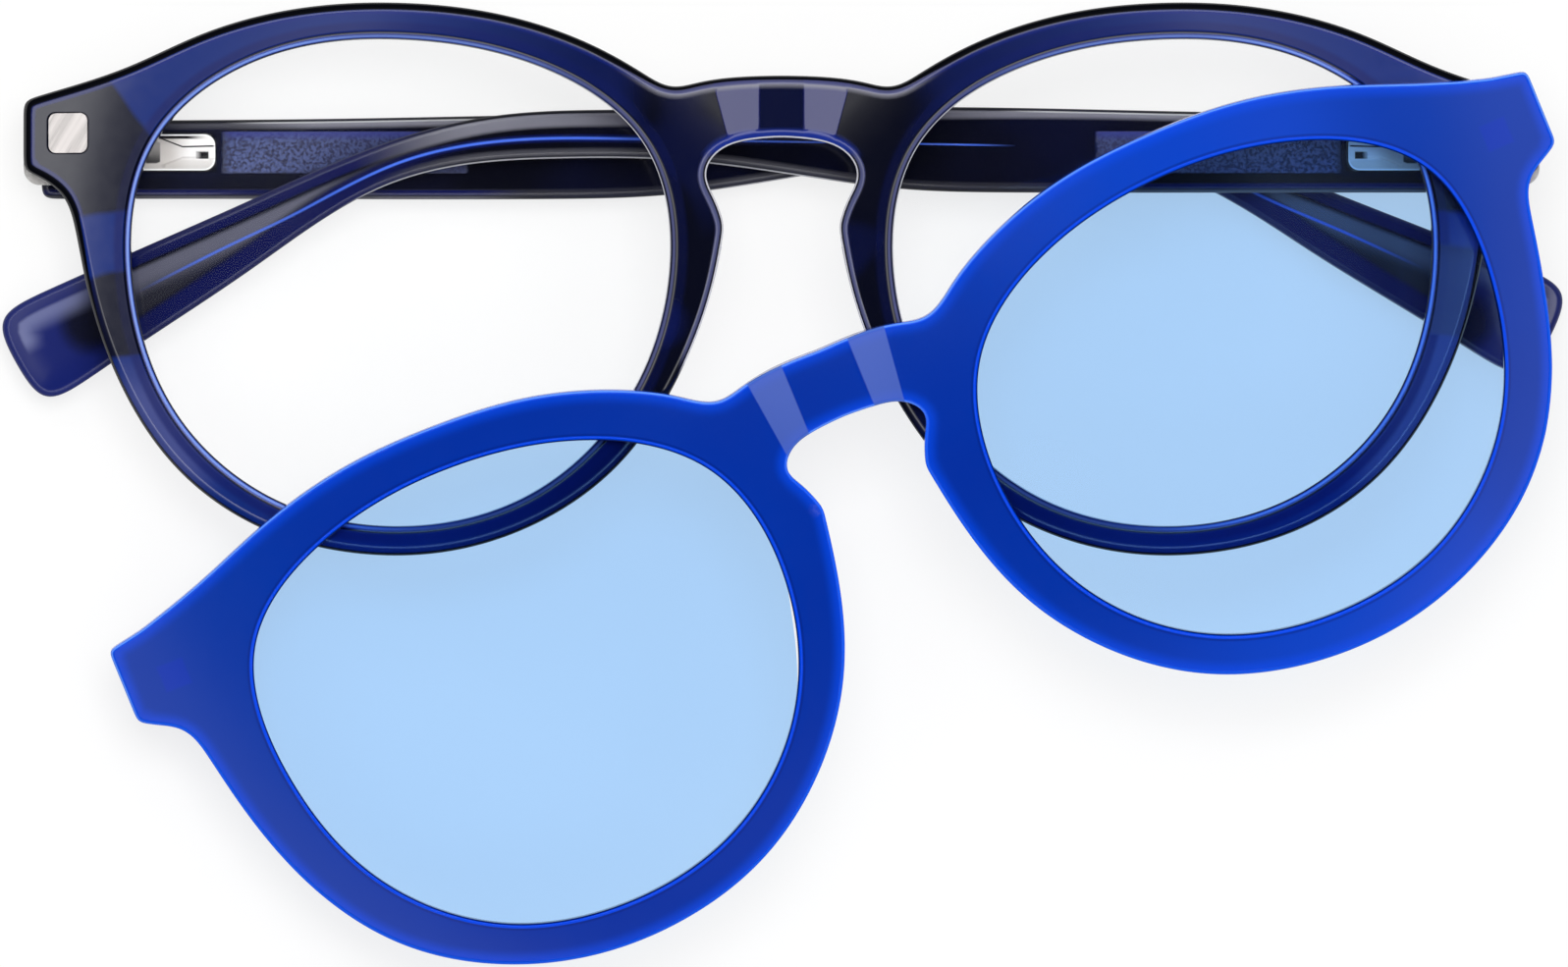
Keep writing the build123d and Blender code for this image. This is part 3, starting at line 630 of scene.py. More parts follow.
def slab(low, high, half, value, along, y):
    """How much of a value a pocket with thin sloping walls takes away."""
    past_low = unit((along - low) / POCKET_WALL + 0.5)
    past_high = unit((high - along) / POCKET_WALL + 0.5)
    return value * (past_low * past_high) * unit((half - np.abs(y)) / POCKET_WALL + 0.5)


def arm_surfaces(outer):
    """An arm's inner and outer face over its plane, the inner one crowned and pocketed."""
    def top(xy):
        along, y = np.abs(xy[:, 0]), xy[:, 1]
        reach = np.interp(along, *np.array(CROWN_REACH).T)
        drop = np.interp(along, *np.array(CROWN_DROP).T)
        away = np.minimum(nearest(xy, [outer]) / reach, 1)
        flare = np.interp(along, *smooth_flare.T)
        low = INNER_FACE + flare - drop * (1 - away) ** 2
        low = low - slab(*PANEL, PANEL_HALF, PANEL_DEEP, along, y)
        return low - slab(*POCKET, POCKET_HALF, POCKET_DEEP, along, y)

    def bottom(xy):
        return np.interp(np.abs(xy[:, 0]), *np.array(OUTER_FLARE).T)

    return top, bottom


def box_rows(side, low, high, half, offsets, pitch):
    """Rows of points along a pocket's walls."""
    rows = []
    for off in offsets:
        for along in np.arange(max(low, 0) - off, high + off, pitch):
            rows += [(-side * along, half + off), (-side * along, -half - off)]
        for y in np.arange(-half - off, half + off, pitch):
            rows += [(-side * (high + off), y), (-side * (low - off), y)]
    return np.array(rows)


def across(line):
    """The unit normals along an open line."""
    run = np.gradient(line, axis=0)
    run /= np.linalg.norm(run, axis=1)[:, None]
    return np.column_stack([-run[:, 1], run[:, 0]])


def made_arm(name, side):
    def curve(points, step=0.2):
        return spline([arm_point(side, *point) for point in points], step=step)

    top_line, bottom_line, route = curve(ARM_TOP), curve(ARM_BOTTOM), curve(WIRE_ROUTE, WIRE_STEP)
    line = np.vstack([top_line, bottom_line])
    area = np.sum(line[:, 0] * np.roll(line[:, 1], -1) - line[:, 1] * np.roll(line[:, 0], -1))
    outer = loop_of(line if area > 0 else line[::-1], ARM_STEP, ARM_CORNER)
    share = unit((np.abs(outer[:, :1]) - TIP_START) / TIP_BLEND)
    outer = outer * (1 - share) + softened(outer, TIP_CORNER, ARM_STEP) * share
    top, bottom = arm_surfaces(outer)
    rows = np.vstack([
        box_rows(side, -2, POCKET[1], POCKET_HALF, (-0.09, 0.09), 0.5),
        box_rows(side, *PANEL, PANEL_HALF, (-0.07, 0.07), 0.6),
        *[route + off * across(route) for off in WIRE_ROWS],
    ])
    low, high = outer.min(axis=0) - 1, outer.max(axis=0) + 1
    grid = grid_points(max(abs(low[0]), abs(high[0])), low[1], high[1], ARM_PITCH)

    def marks(xy, loop, _):
        lines = {"wire": route, "top": top_line, "low": bottom_line}
        found = {mark: nearest(xy, [line], closed=False) for mark, line in lines.items()}
        return {"rim": nearest(xy, [loop])} | found

    made = plate(
        name, outer, [], top, bottom, easing(0.6, 0.3, 5, 1.2), foot(0.45, 0.13),
        grid, rows, ARM_STEP, marks,
    )
    made.matrix_world = arm_place(name)
    return made


# The inner face's flare, its bends softened over its samples
FLARE_SAMPLES = 300
FLARE_SOFT = 10
flare_points = np.array(INNER_FLARE, float)
fine_along = np.linspace(flare_points[0, 0], flare_points[-1, 0], FLARE_SAMPLES)
flat_flare = np.interp(fine_along, *flare_points.T)
span = SOFT_SPAN * FLARE_SOFT
kernel = np.exp(-0.5 * (np.arange(-span, span + 1) / FLARE_SOFT) ** 2)
padded = np.pad(flat_flare, span, mode="reflect", reflect_type="odd")
smooth_flare = np.column_stack([fine_along, np.convolve(padded, kernel / kernel.sum(), mode="valid")])
arms = {name: made_arm(name, side) for name, side in SIDES.items()}

# The polished face over each spring housing: a raised bow tie between two grooves, and a small window
FACE_BASE = 0.06
FACE_THICK = 0.12
FACE_STEP = 0.15
BOW = ((1.7, 1.5), (8.4, 1.42), (10.8, 0.5), (13.7, 0.57))
BOW_RISE = 0.16
BOW_WALL = 0.16
WINDOW = (12.0, 13.25, -0.65, 0.1)
WINDOW_DEEP = 0.12
WINDOW_WALL = 0.1


def bow_edge(xy):
    """How far a point lies outside the bow tie."""
    return np.abs(xy[:, 1]) - np.interp(np.abs(xy[:, 0]), *np.array(BOW).T)


def made_face(name, side):
    start, end, corner = HOUSING[0] + 0.05, HOUSING[1], HOUSING_CORNER
    line = [(start, -HOUSING_HALF)]
    for centre, first in ((-HOUSING_HALF + corner, -90), (HOUSING_HALF - corner, 0)):
        for angle in np.radians(np.linspace(first, first + 90, 10)):
            line.append((end - corner + corner * cos(angle), centre + corner * sin(angle)))
    line.append((start, HOUSING_HALF))
    line = np.array(line) * (-side, 1)
    outer = loop_of(line if side < 0 else line[::-1], FACE_STEP, 0.08)

    def top(xy):
        along, y = np.abs(xy[:, 0]), xy[:, 1]
        bow = BOW_RISE * unit(-bow_edge(xy) / BOW_WALL + 0.5)
        edges = (WINDOW[3] - y, y - WINDOW[2], WINDOW[1] - along, along - WINDOW[0])
        high, low, right, left = (unit(edge / WINDOW_WALL) for edge in edges)
        return FACE_BASE + FACE_THICK + bow - WINDOW_DEEP * (high * low) * (right * left)

    made = plate(
        f"{name}_housing_face", outer, [], top, lambda xy: np.full(len(xy), FACE_BASE),
        easing(0.1, 0.05, 2, 0.1), [(0, 0.02), (0.02, 0)],
        grid_points(15, -2, 2, 0.16), np.zeros((0, 2)), FACE_STEP,
        lambda xy, loop, _: {"rim": nearest(xy, [loop]), "bow": bow_edge(xy)},
    )
    made.matrix_world = arm_place(name)
    return made


faces = {name: made_face(name, side) for name, side in SIDES.items()}


# Materials: each finds where its marks lie, in mm, and then lays its coats, the last on top

class Nodes:
    """A node tree with short calls for its nodes."""

    def __init__(self, tree):
        self.tree = tree
        self.tree.nodes.clear()

    def put(self, socket, value):
        """Wires a socket to another one, or sets it. A colour is given without its alpha."""
        if isinstance(value, bpy.types.NodeSocket):
            self.tree.links.new(value, socket)
        else:
            socket.default_value = (*value, 1.0) if socket.type == "RGBA" else value

    def make(self, kind, **sockets):
        """A new node of a kind, its sockets set by their names."""
        node = self.tree.nodes.new("ShaderNode" + kind)
        for name, value in sockets.items():
            self.put(node.inputs[name.replace("_", " ")], value)
        return node

    def math(self, operation, *values):
        node = self.make("Math")
        node.operation = operation
        for socket, value in zip(node.inputs, values):
            self.put(socket, value)
        return node.outputs[0]

    def product(self, *values):
        total = values[0]
        for value in values[1:]:
            total = self.math("MULTIPLY", total, value)
        return total

    def plus(self, value, times, more):
        """A value times a number, plus more."""
        return self.math("MULTIPLY_ADD", value, times, more)

    def minus(self, value, less):
        return self.math("SUBTRACT", value, less)

    def rest(self, share):
        return self.math("SUBTRACT", 1.0, share)

    def band(self, value, low, high, start=0.0, end=1.0, smooth=True):
        """From start, where a value is low or less, to end, where it is high or more."""
        node = self.make("MapRange", Value=value, From_Min=low, From_Max=high, To_Min=start, To_Max=end)
        node.interpolation_type = "SMOOTHSTEP" if smooth else "LINEAR"
        return node.outputs[0]

    def fall(self, value, low, high):
        return self.band(value, low, high, 1.0, 0.0)

    def between(self, value, low, high, soft):
        """1 inside a stretch of a value and 0 outside it, over soft borders."""
        up = self.band(value, low - soft, low + soft)
        return self.product(up, self.fall(value, high - soft, high + soft))

    def layers(self, base, *coats):
        """A base under coats: each a colour, then shares whose product says how strongly it covers."""
        for colour, *shares in coats:
            share = self.product(*shares)
            node = self.make("Mix")
            node.data_type = "RGBA"
            for k, value in ((0, share), (6, base), (7, colour)):
                self.put(node.inputs[k], value)
            base = node.outputs[2]
        return base

    def noise(self, vector, scale, detail=2.0, rough=0.5):
        node = self.make("TexNoise", Vector=vector, Scale=scale, Detail=detail, Roughness=rough)
        return node.outputs["Fac"]

    def moved(self, vector, offset, turn=0.0, scale=(1, 1, 1)):
        node = self.make("Mapping", Vector=vector, Location=offset, Rotation=(0, 0, turn), Scale=scale)
        return node.outputs[0]


class Shade(Nodes):
    """A material and its node tree."""

    def __init__(self, name):
        self.material = bpy.data.materials.new(name)
        self.material.use_nodes = True
        super().__init__(self.material.node_tree)
        self.out = self.make("OutputMaterial")

    def place(self):
        return self.make("TexCoord").outputs["Object"]

    def mark(self, name):
        node = self.make("Attribute")
        node.attribute_name = name
        return node.outputs["Fac"]

    def principled(self, **sockets):
        return self.make("BsdfPrincipled", **sockets).outputs[0]

    def done(self, surface):
        self.put(self.out.inputs[0], surface)
        return self.material


def rgb(red, green, blue):
    """A colour named by its 0 to 255 screen values, as linear light."""
    shares = (red / 255, green / 255, blue / 255)
    return tuple(c / 12.92 if c < 0.0404 else ((c + 0.055) / 1.055) ** 2.4 for c in shares)


def placed(shade, place):
    """Object coordinates in mm: x, y and x's distance from the middle."""
    x, y, _ = shade.make("SeparateXYZ", Vector=place).outputs
    x = shade.product(x, 1 / MM)
    y = shade.product(y, 1 / MM)
    return x, y, shade.math("ABSOLUTE", x)


ACETATE_IOR = 1.49
LENS_IOR = 1.5
BLACK = rgb(5, 6, 12)
PATCH = rgb(14, 17, 38)
NAVY = rgb(11, 20, 66)
BLUE = rgb(14, 40, 112)
DEEP_BLUE = rgb(10, 24, 92)


def tortoise():
    """The front's acetate: navy to blue, dark at the end pieces, the rims' outer sides and the bridge."""
    shade = Shade("tortoise_acetate")
    place = shade.place()
    x, y, side = placed(shade, place)
    wave = shade.plus(shade.noise(place, 150.0, 1.5), 3.0, -1.5)
    cloud = shade.noise(shade.moved(place, (0.31, 0.12, 0.2)), 95.0, 1.0, 0.4)

    # Dark patches at the end pieces and on the rims' outer sides, and a painted reflection that lightens a
    # stretch below those
    slant = shade.plus(wave, 0.5, shade.plus(shade.minus(14.1, y), 0.766, side))
    tilted = shade.plus(shade.minus(side, 60.0), 0.16, y)
    end = shade.product(shade.band(slant, 58.0, 58.8), shade.band(shade.plus(wave, 0.4, tilted), 6.4, 7.2))
    lower = shade.minus(tilted, shade.band(x, -1.0, 1.0, 0.0, 2.3))
    low = shade.product(
        shade.between(shade.plus(wave, 0.8, lower), -6.6, 1.45, 0.35), shade.band(side, 50.0, 51.0),
    )
    patches = shade.math("MAXIMUM", end, low)
    lowered = shade.minus(y, shade.band(x, -1.0, 1.0, 0.0, 12.5))
    bright = shade.product(
        shade.band(y, -21.5, -16.5), shade.fall(lowered, -11.0, -6.0), shade.band(side, 50.0, 56.0),
    )

    # The bridge, near black with a blue middle
    middle = shade.fall(shade.plus(wave, 1.6, side), 11.0, 15.5)
    glow = shade.product(shade.band(cloud, 0.5, 0.6), shade.band(y, -9.0, 4.0, 1.0, 0.35))
    lean = shade.plus(y, -0.272, side)
    bridge = shade.layers(
        rgb(7, 9, 24),
        (rgb(9, 18, 70), glow),
        (rgb(20, 26, 92), shade.fall(lean, 1.2, 1.35), shade.band(y, 11.0, 12.0)),
        (rgb(10, 15, 46), shade.fall(side, 1.9, 2.15), shade.band(y, 12.0, 14.0)),
    )

    # Painted light along the outer edge and round the keyhole
    rim = shade.mark("rim")
    # A painted highlight band along the bridge's top edge
    bridge_highlight = shade.product(
        shade.between(rim, 0.42, 1.0, 0.3), shade.fall(side, 11.0, 16.0), shade.band(y, 15.5, 16.5), 0.85,
    )
    # A painted dark reflection along the outer edge, wider on top, with a painted blue highlight line inside
    # it
    top_share = shade.band(y, -6.0, 8.0)
    width = shade.product(shade.band(y, -6.0, 8.0, 0.26, 0.66), shade.band(side, 10.0, 17.0, 0.55, 1.0))
    inner = shade.minus(rim, width)
    # Painted highlights round the keyhole: a lavender band, a painted blue glow under the bridge, a white
    # edge line
    keyhole = shade.product(shade.fall(side, 8.6, 9.6), shade.fall(y, 13.9, 14.5))
    arch = shade.product(keyhole, shade.band(y, 11.4, 12.6))

    # Painted light round the lens openings: a blue glow where light falls into the rim
    # and elsewhere a painted reflection and a white highlight line
    lens = shade.mark("lens_side")
    temporal = shade.band(side, 27.0, 46.0)
    high = shade.product(shade.band(y, 4.0, 16.0, 0.0, 0.7), shade.band(side, 13.0, 28.0))
    lit = shade.math("MAXIMUM", temporal, high)
    navy = shade.product(shade.between(lens, 0.75, 1.6, 0.25), shade.band(lit, 0.0, 1.0, 0.2, 0.75))
    lens_side_reflection = shade.product(shade.between(lens, 0.26, 0.5, 0.1), shade.rest(lit), 0.8)
    white = shade.product(shade.fall(lens, 0.05, 0.12), shade.rest(lit))

    rough = shade.band(shade.noise(place, 900.0), 0.2, 0.8, 0.06, 0.1, smooth=False)
    base = shade.layers(
        NAVY,
        (BLUE, shade.band(side, 12.0, 42.0)),
        (DEEP_BLUE, shade.band(cloud, 0.35, 0.7, 0.0, 0.2)),
        (PATCH, patches),
        # painted reflection on the rims below the patches
        (rgb(92, 98, 152), bright, 0.42),
        (bridge, middle),
        # painted highlight along the bridge's top
        (rgb(124, 124, 136), bridge_highlight),
        # painted blue highlight line, then the painted dark reflection along the outer edge
        (rgb(18, 34, 120), shade.between(inner, 0.04, 0.4, 0.1), top_share, 0.5),
        (BLACK, shade.fall(inner, -0.06, 0.06), shade.plus(arch, -0.75, 1.0)),
        # painted highlights round the keyhole
        (rgb(84, 88, 126), shade.between(rim, 0.3, 0.62, 0.1), keyhole, shade.rest(arch), 0.8),
        (rgb(28, 52, 150), shade.fall(rim, 0.12, 1.3), arch, 0.85),
        (rgb(214, 214, 222), shade.between(rim, 0.0, 0.14, 0.03), keyhole),
        (rgb(12, 24, 92), navy, shade.band(patches, 0.0, 1.0, 1.0, 0.25)),
        (BLACK, shade.between(lens, 0.5, 0.74, 0.08), 0.85),
        # painted blue glow, then a painted reflection and a white highlight line
        (rgb(42, 64, 160), shade.between(lens, 0.1, 0.52, 0.08), shade.product(lit, 0.8)),
        (rgb(128, 158, 236), shade.between(lens, 0.2, 0.4, 0.07), shade.product(lit, 0.9)),
        (rgb(92, 96, 140), lens_side_reflection),
        (rgb(16, 18, 34), shade.fall(lens, 0.08, 0.16)),
        (rgb(205, 206, 214), white),
    )
    return shade.done(shade.principled(Base_Color=base, Roughness=rough, IOR=ACETATE_IOR))


def clip_acetate():
    """The clip-on's bright blue moulding, with a painted glow where light gathers along its edges."""
    shade = Shade("clip_acetate")
    place = shade.place()
    x, y, side = placed(shade, place)
    cloud = shade.noise(place, 45.0)
    # A painted glow: lighter blue where light gathers in the right rim's upper and lower parts
    painted_glow = shade.product(
        shade.band(x, 4.0, 36.0), shade.band(shade.math("ABSOLUTE", y), 6.0, 23.0),
        shade.band(side, 48.0, 58.0, 1.0, 0.35),
    )
    rim = shade.mark("rim")
    lens = shade.mark("lens_side")
    # A painted highlight line along the upper edges
    upper = shade.product(shade.between(rim, 0.03, 0.17, 0.03), shade.band(y, 9.0, 14.0), 0.8)
    off_x = shade.math("ABSOLUTE", shade.minus(side, MAGNET[0]))
    off_y = shade.math("ABSOLUTE", shade.minus(y, MAGNET[1]))
    spot = shade.math("MAXIMUM", off_x, off_y)
    # A painted reflection on the raised bridge's sloping sides
    lean = shade.plus(y, -0.123, side)
    arch = shade.product(shade.band(side, 3.2, 3.35), shade.fall(lean, 4.35, 4.5), shade.band(y, 11.0, 12.5))

    rough = shade.band(shade.noise(place, 700.0), 0.2, 0.8, 0.11, 0.14, smooth=False)
    base = shade.layers(
        rgb(0, 42, 148),
        (rgb(0, 46, 154), shade.band(cloud, 0.3, 0.7)),
        # painted glow
        (rgb(0, 62, 190), painted_glow, 0.85),
        (rgb(0, 56, 156), shade.band(side, 40.0, 66.0, 0.0, 0.5)),
        # painted glow along the edges, and a painted highlight line on the upper edges
        (rgb(0, 70, 226), shade.band(rim, 0.25, 1.5, 0.55, 0.0)),
        (rgb(24, 92, 240), shade.fall(rim, 0.14, 0.34)),
        (rgb(110, 160, 252), upper),
        (rgb(0, 26, 110), shade.between(lens, 0.4, 0.62, 0.06), 0.5),
        # painted glow along the lens openings
        (rgb(0, 70, 232), shade.between(lens, 0.12, 0.4, 0.05), 0.8),
        (rgb(0, 16, 84), shade.band(lens, 0.08, 0.15, 0.9, 0.0)),
        (rgb(0, 38, 190), shade.band(spot, 1.1, 1.4, 0.28, 0.0)),
        # painted reflection on the raised bridge's slopes
        (rgb(72, 98, 182), arch, 0.75),
    )
    surface = shade.principled(Base_Color=base, Roughness=rough, IOR=ACETATE_IOR, Specular_IOR_Level=0.11)
    return shade.done(surface)


def arm_acetate():
    """The arms' acetate: near black, navy along the edges and at the tips, a matt panel and the wire."""
    shade = Shade("arm_acetate")
    place = shade.place()
    _, y, along = placed(shade, place)
    rim = shade.mark("rim")
    wire = shade.mark("wire")
    wave = shade.plus(shade.noise(place, 90.0, 1.5), 4.0, -2.0)
    top = shade.mark("top")
    low = shade.mark("low")

    # Painted highlight lines along the straight stretch's edges, and a painted sheen down the drop to the
    # ear
    ear = shade.band(along, 94.0, 106.0)
    straight = shade.rest(ear)
    tip = shade.band(shade.math("ADD", along, wave), 125.0, 131.0)
    edge = shade.math("MAXIMUM", shade.fall(top, 1.1, 1.5), shade.fall(low, 1.7, 2.3))
    sheen = shade.product(shade.band(top, 1.4, 1.9), shade.band(top, 2.4, 4.4, 1.0, 0.15), ear, 0.85)
    top_highlight = shade.product(
        shade.band(top, 0.24, 0.36), straight, shade.band(along, 15.0, 24.0, 0.3, 0.95),
        shade.fall(shade.minus(top, shade.band(along, 34.0, 76.0, 0.5, 1.15)), 0.1, 0.55),
    )
    edge_glint = shade.product(shade.between(top, 0.24, 0.38, 0.05), shade.between(along, 17.0, 44.0, 3.0), 0.8)
    # A painted highlight band along the lower edge
    under = shade.product(
        shade.between(low, 0.25, 0.85, 0.2), straight, shade.band(along, 54.0, 62.0, 0.35, 0.85),
    )
    near = shade.fall(along, 36.0, 44.0)
    # A painted highlight line along the lower edge
    glint = shade.product(shade.fall(low, 0.05, 0.14), shade.between(along, 60.0, 105.0, 3.0), 0.8)

    # The ear end's dark knot and a painted highlight near its corner, and the wire's glow
    off_x = shade.math("POWER", shade.minus(along, 129.5), 2.0)
    off_y = shade.math("POWER", shade.math("ADD", y, 15.6), 2.0)
    knot = shade.math("ADD", off_x, off_y)
    gleam = shade.product(
        shade.band(rim, 1.2, 1.6), shade.fall(rim, 1.8, 3.6), shade.fall(top, 3.4, 5.0),
        shade.between(along, 129.0, 139.0, 2.0), 0.6,
    )
    line = shade.product(
        shade.fall(wire, 0.03, shade.band(along, 60.0, 84.0, 0.12, 0.2)), shade.band(along, 44.0, 50.0),
        shade.fall(along, 118.0, 126.0), shade.band(along, 100.0, 112.0, 1.0, 0.7),
    )

    # The matt speckled panel, and the satin seat of the housing
    high = shade.math("ABSOLUTE", y)
    panel = shade.product(
        shade.between(along, HOUSING[1] + 0.6, PANEL[1], 0.3),
        shade.fall(high, PANEL_HALF - 0.15, PANEL_HALF + 0.05),
    )
    grain = shade.noise(place, 3300.0, 2.0, 0.7)
    speckle = shade.layers(
        rgb(8, 16, 58),
        (rgb(64, 78, 130), shade.band(grain, 0.4, 0.6)),
        (rgb(16, 25, 74), shade.band(along, 16.0, 34.0, 0.0, 0.6)),
        (rgb(20, 34, 122), shade.band(y, 0.9, 1.9, 0.0, 0.85)),
    )
    satin = shade.between(along, -3.0, HOUSING[1] + 1.0, 0.4)

    matt = shade.band(panel, 0.0, 1.0, 0.1, 0.6)
    rough = shade.math("MAXIMUM", matt, shade.band(rim, 0.4, 0.7, 0.38, 0.1))
    grit = shade.make("Bump", Height=shade.product(grain, panel), Distance=0.04 * MM, Strength=0.8)
    base = shade.layers(
        rgb(8, 9, 20),
        (rgb(10, 13, 38), shade.band(shade.noise(place, 60.0), 0.4, 0.7)),
        (rgb(11, 17, 72), edge, ear),
        # painted sheen and highlight lines
        (rgb(96, 97, 114), sheen, shade.band(low, 1.8, 2.6)),
        (rgb(118, 118, 130), top_highlight),
        (rgb(200, 201, 204), edge_glint),
        (rgb(10, 26, 110), shade.fall(wire, 0.1, 0.5), shade.band(along, 60.0, 80.0), straight, 0.6),
        # painted highlight along the lower edge
        (rgb(72, 72, 80), under),
        (rgb(15, 20, 74), shade.between(low, 0.36, 0.82, 0.08), near),
        # painted highlights along the lower edge near the hinge and further out
        (rgb(92, 92, 100), shade.fall(low, 0.2, 0.3), near, 0.9),
        (rgb(196, 197, 202), glint),
        (rgb(20, 31, 100), tip),
        (BLACK, shade.band(shade.plus(wave, 2.0, knot), 1.0, 12.0, 0.9, 0.0)),
        # painted highlight near the ear end's corner
        (rgb(124, 130, 172), gleam),
        (rgb(70, 112, 232), line),
        (speckle, panel),
        (rgb(18, 22, 48), satin, shade.band(high, 2.0, 2.4, 0.5, 0.0)),
    )
    surface = shade.principled(Base_Color=base, Roughness=rough, IOR=ACETATE_IOR, Normal=grit.outputs[0])
    return shade.done(surface)


def face_plate():
    """The spring housing's polished face: bright plate, dark grooves along the bow tie, a dark window."""
    shade = Shade("housing_face")
    place = shade.place()
    _, y, along = placed(shade, place)
    rim = shade.mark("rim")
    bow = shade.mark("bow")
    # Painted shade on a facet of the bow tie and along the upper edge
    shaded_facet = shade.product(shade.between(along, 7.0, 8.75, 0.08), shade.fall(bow, -0.5, -0.3))
    upper = shade.band(y, -0.1, 0.1)
    shadow = shade.product(shade.fall(rim, 0.5, 0.62), upper, shade.fall(along, 11.2, 13.4))
    window = shade.product(
        shade.between(along, WINDOW[0] + 0.05, WINDOW[1] - 0.05, 0.04),
        shade.between(y, WINDOW[2] + 0.05, WINDOW[3] - 0.05, 0.04), shade.band(along, 12.0, 12.6, 0.4, 1.0),
    )

    rough = shade.band(shade.noise(place, 1500.0), 0.2, 0.8, 0.16, 0.24, smooth=False)
    base = shade.layers(
        rgb(208, 202, 197),
        # painted light and shade: lighter toward the end, darker on the lower side, a dark facet
        (rgb(252, 250, 248), shade.band(along, 9.5, 11.8)),
        (rgb(168, 164, 160), shade.band(y, -1.7, -0.6, 0.4, 0.0)),
        (rgb(40, 40, 44), shaded_facet, shade.band(y, -1.0, 0.6, 0.95, 0.5)),
        (rgb(196, 191, 186), shade.band(bow, 0.0, 0.3), shade.band(y, -0.2, 0.0, 0.5, 0.0)),
        (rgb(22, 21, 24), shadow),
        (rgb(18, 18, 22), shade.between(bow, -0.05, 0.08, 0.04), upper),
        (rgb(26, 26, 30), window),
        # a painted highlight along the bevelled edge
        (rgb(254, 254, 253), shade.between(rim, 0.15, 0.28, 0.04)),
        (rgb(14, 14, 17), shade.fall(rim, 0.1, 0.15)),
    )
    return shade.done(shade.principled(Base_Color=base, Metallic=0.08, Roughness=rough))


def lens_material(name, tint, gloss_rough, gloss_share):
    """A see-through lens: what passes takes the tint, and a clear gloss lies over it."""
    shade = Shade(name)
    clear = shade.make("BsdfTransparent", Color=tint)
    gloss = shade.make("BsdfGlossy", Roughness=gloss_rough)
    fresnel = shade.make("Fresnel", IOR=LENS_IOR)
    share = shade.product(fresnel.outputs[0], gloss_share)
    mixed = shade.make("MixShader", Fac=share)
    shade.put(mixed.inputs[1], clear.outputs[0])
    shade.put(mixed.inputs[2], gloss.outputs[0])
    return shade.done(mixed.outputs[0])


def metal(name, colour, rough, grain_scale, shine=0.45, stretch=(1, 1, 1), turn=0.0, contrast=0.85):
    """Brushed or polished metal with a share of scattered light, as under a soft tent."""
    shade = Shade(name)
    turned = shade.moved(shade.place(), (0, 0, 0), turn)
    grain = shade.noise(shade.moved(turned, (0, 0, 0), 0, stretch), grain_scale, 3.0, 0.6)
    spread = shade.band(grain, 0.25, 0.75, rough * 0.7, rough * 1.4, smooth=False)
    base = shade.layers(tuple(contrast * c for c in colour), (colour, shade.band(grain, 0.35, 0.65)))
    return shade.done(shade.principled(Base_Color=base, Metallic=shine, Roughness=spread))


front_acetate = tortoise()
acetate_front.data.materials.append(front_acetate)
clip_front.data.materials.append(clip_acetate())
arm_dark = arm_acetate()
face_metal = face_plate()
brushed = metal("brushed_plaque", (0.67, 0.63, 0.615), 0.3, 150.0, 0.1, (7, 0.3, 0.3), radians(30), 0.72)
polished = metal("hinge_metal", (0.86, 0.84, 0.82), 0.14, 900.0, 0.25)
spring_steel = metal("spring_steel", (0.62, 0.62, 0.64), 0.22, 1200.0)
# The first word that a node's name holds gives its material
KINDS = (
    ("demo_lens", lens_material("clear_lens", (0.996, 0.997, 0.998), 0.02, 0.12)),
    ("clip_lens", lens_material("clip_lens", (0.685, 0.834, 0.985), 0.03, 0.15)),
    ("plaque", brushed), ("magnet", metal("magnet", (0.45, 0.45, 0.47), 0.35, 900.0)),
    ("leaf", polished), ("rivets", polished), ("screw", polished), ("slider", polished),
    ("nut", spring_steel), ("flex_spring", spring_steel), ("housing", polished),
    ("wire", metal("core_wire", (0.55, 0.56, 0.60), 0.25, 900.0)),
    ("temple", arm_dark), ("nose_pad", front_acetate), ("frame", front_acetate),
)
for name, node in frame["nodes"].items():
    node.data.materials.clear()
    node.data.materials.append(next(material for word, material in KINDS if word in name))

for name, face in faces.items():
    face.data.materials.append(face_metal)
    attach(face, f"{name}_arm")
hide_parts("front_frame")
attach(acetate_front, "front")
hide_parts("clip_frame")
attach(clip_front, "clip")
for name, arm in arms.items():
    arm.data.materials.append(arm_dark)
    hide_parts(f"{name}_temple")
    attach(arm, f"{name}_arm")


# Floor, light and camera, in metres

FLOOR = ((-3, -3, 0), (3, -3, 0), (3, 3, 0), (-3, 3, 0))
FLOOR_BELOW = 0.0001
floor_mesh = bpy.data.meshes.new("floor")
floor_mesh.from_pydata(FLOOR, [], [(0, 1, 2, 3)])
floor = linked("floor", floor_mesh)
floor.location = (0, 0, cad_box[0].z - FLOOR_BELOW)
floor_shade = Shade("floor")
floor_mesh.materials.append(floor_shade.done(floor_shade.principled(
    Base_Color=(0.21, 0.21, 0.207), Roughness=0.9, Specular_IOR_Level=0.05,
    Emission_Color=(1, 1, 1), Emission_Strength=0.77,
)))


def lamp(name, place, size, power):
    """A square lamp aimed at the origin, not seen in gloss."""
    data = bpy.data.lights.new(name, "AREA")
    data.size = size
    data.energy = power
    made = linked(name, data)
    made.location = place
    made.rotation_mode = "QUATERNION"
    made.rotation_quaternion = (Vector() - Vector(place)).to_track_quat("-Z", "Y")
    made.visible_glossy = False


lamp("key", (-0.04, 0.17, 1.1), 0.4, 7.4)
lamp("fill", (0.0, 0.1, 1.4), 2.0, 19.5)

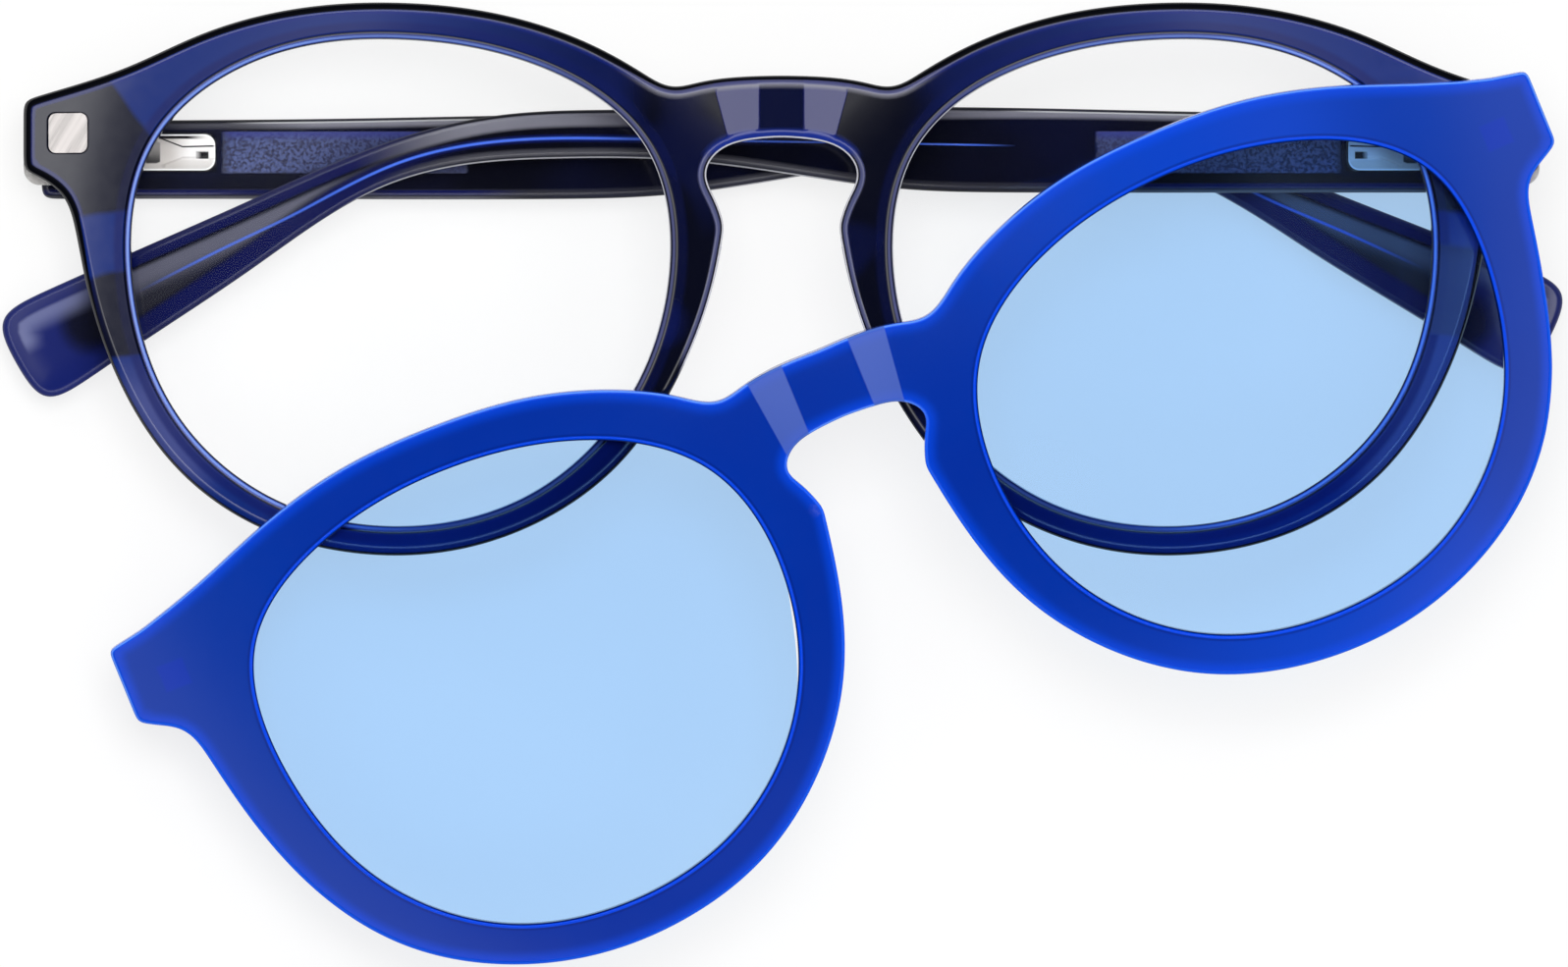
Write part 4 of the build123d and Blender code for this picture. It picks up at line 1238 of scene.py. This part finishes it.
# The studio in gloss: dark overhead, a soft white ring round that, and dark walls, its levels set against
# how straight up a direction points on the front's own axes
RING = 4.2
BACKDROP = (0.95, 0.95, 0.96)
STOPS = (
    (0.0, 0.03), (0.45, 0.04), (0.70, 0.2), (0.80, 2.9), (0.84, 4.2), (0.893, 4.2), (0.900, 1.1),
    (0.906, 0.42), (0.925, 0.78), (0.937, 1.29), (0.9476, 1.42), (0.958, 0.54), (0.970, 0.18),
    (0.9806, 0.02), (1.0, 0.01),
)
world = bpy.data.worlds.new("studio")
bpy.context.scene.world = world
world.use_nodes = True
world.cycles_visibility.diffuse = False
sky = Nodes(world.node_tree)
direction = sky.make("TexCoord").outputs["Generated"]


def toward(axis):
    """How far the looked-at direction points along an axis."""
    node = sky.make("VectorMath")
    node.operation = "DOT_PRODUCT"
    sky.put(node.inputs[0], direction)
    node.inputs[1].default_value = axis
    return node.outputs["Value"]


ramp = sky.make("ValToRGB")
ramp.color_ramp.interpolation = "EASE"
stops = ramp.color_ramp.elements
stops[0].position, stops[1].position = STOPS[0][0], STOPS[-1][0]
for at, _ in STOPS[1:-1]:
    stops.new(at)
for stop, (_, level) in zip(stops, STOPS):
    stop.color = (*[level / RING] * 3, 1)
straight = toward(tuple(front_turn.col[2].xyz))
upward = toward(tuple(front_turn.col[1].xyz))
sky.put(ramp.inputs[0], straight)
gap = sky.product(
    sky.band(upward, -0.03, -0.09), sky.band(upward, -0.26, -0.19), sky.band(straight, 0.9, 0.93),
)
strength = sky.product(sky.product(ramp.outputs[0], RING), sky.plus(gap, -0.95, 1.0))
choose = sky.make("MixShader", Fac=sky.make("LightPath").outputs["Is Camera Ray"])
sky.put(choose.inputs[1], sky.make("Background", Strength=strength).outputs[0])
sky.put(choose.inputs[2], sky.make("Background", Color=BACKDROP).outputs[0])
sky.make("OutputWorld", Surface=choose.outputs[0])

# The camera looks straight down on the front's plane: its distance, the width it sees and its aim, in mm
CAMERA_AWAY = 3000.0
VIEW_WIDE = 143.73
CAMERA_AIM = (0.225, -18.315)
SENSOR = 36
camera_data = bpy.data.cameras.new("camera")
camera_data.sensor_width = SENSOR
camera_data.lens = SENSOR * CAMERA_AWAY / VIEW_WIDE
camera_data.clip_start, camera_data.clip_end = 0.05, 20
camera = linked("camera", camera_data)
camera.matrix_world = FRONT @ Matrix.Translation(Vector((*CAMERA_AIM, CAMERA_AWAY)) * MM)
bpy.context.scene.camera = camera
bpy.context.scene.view_settings.view_transform = "Standard"
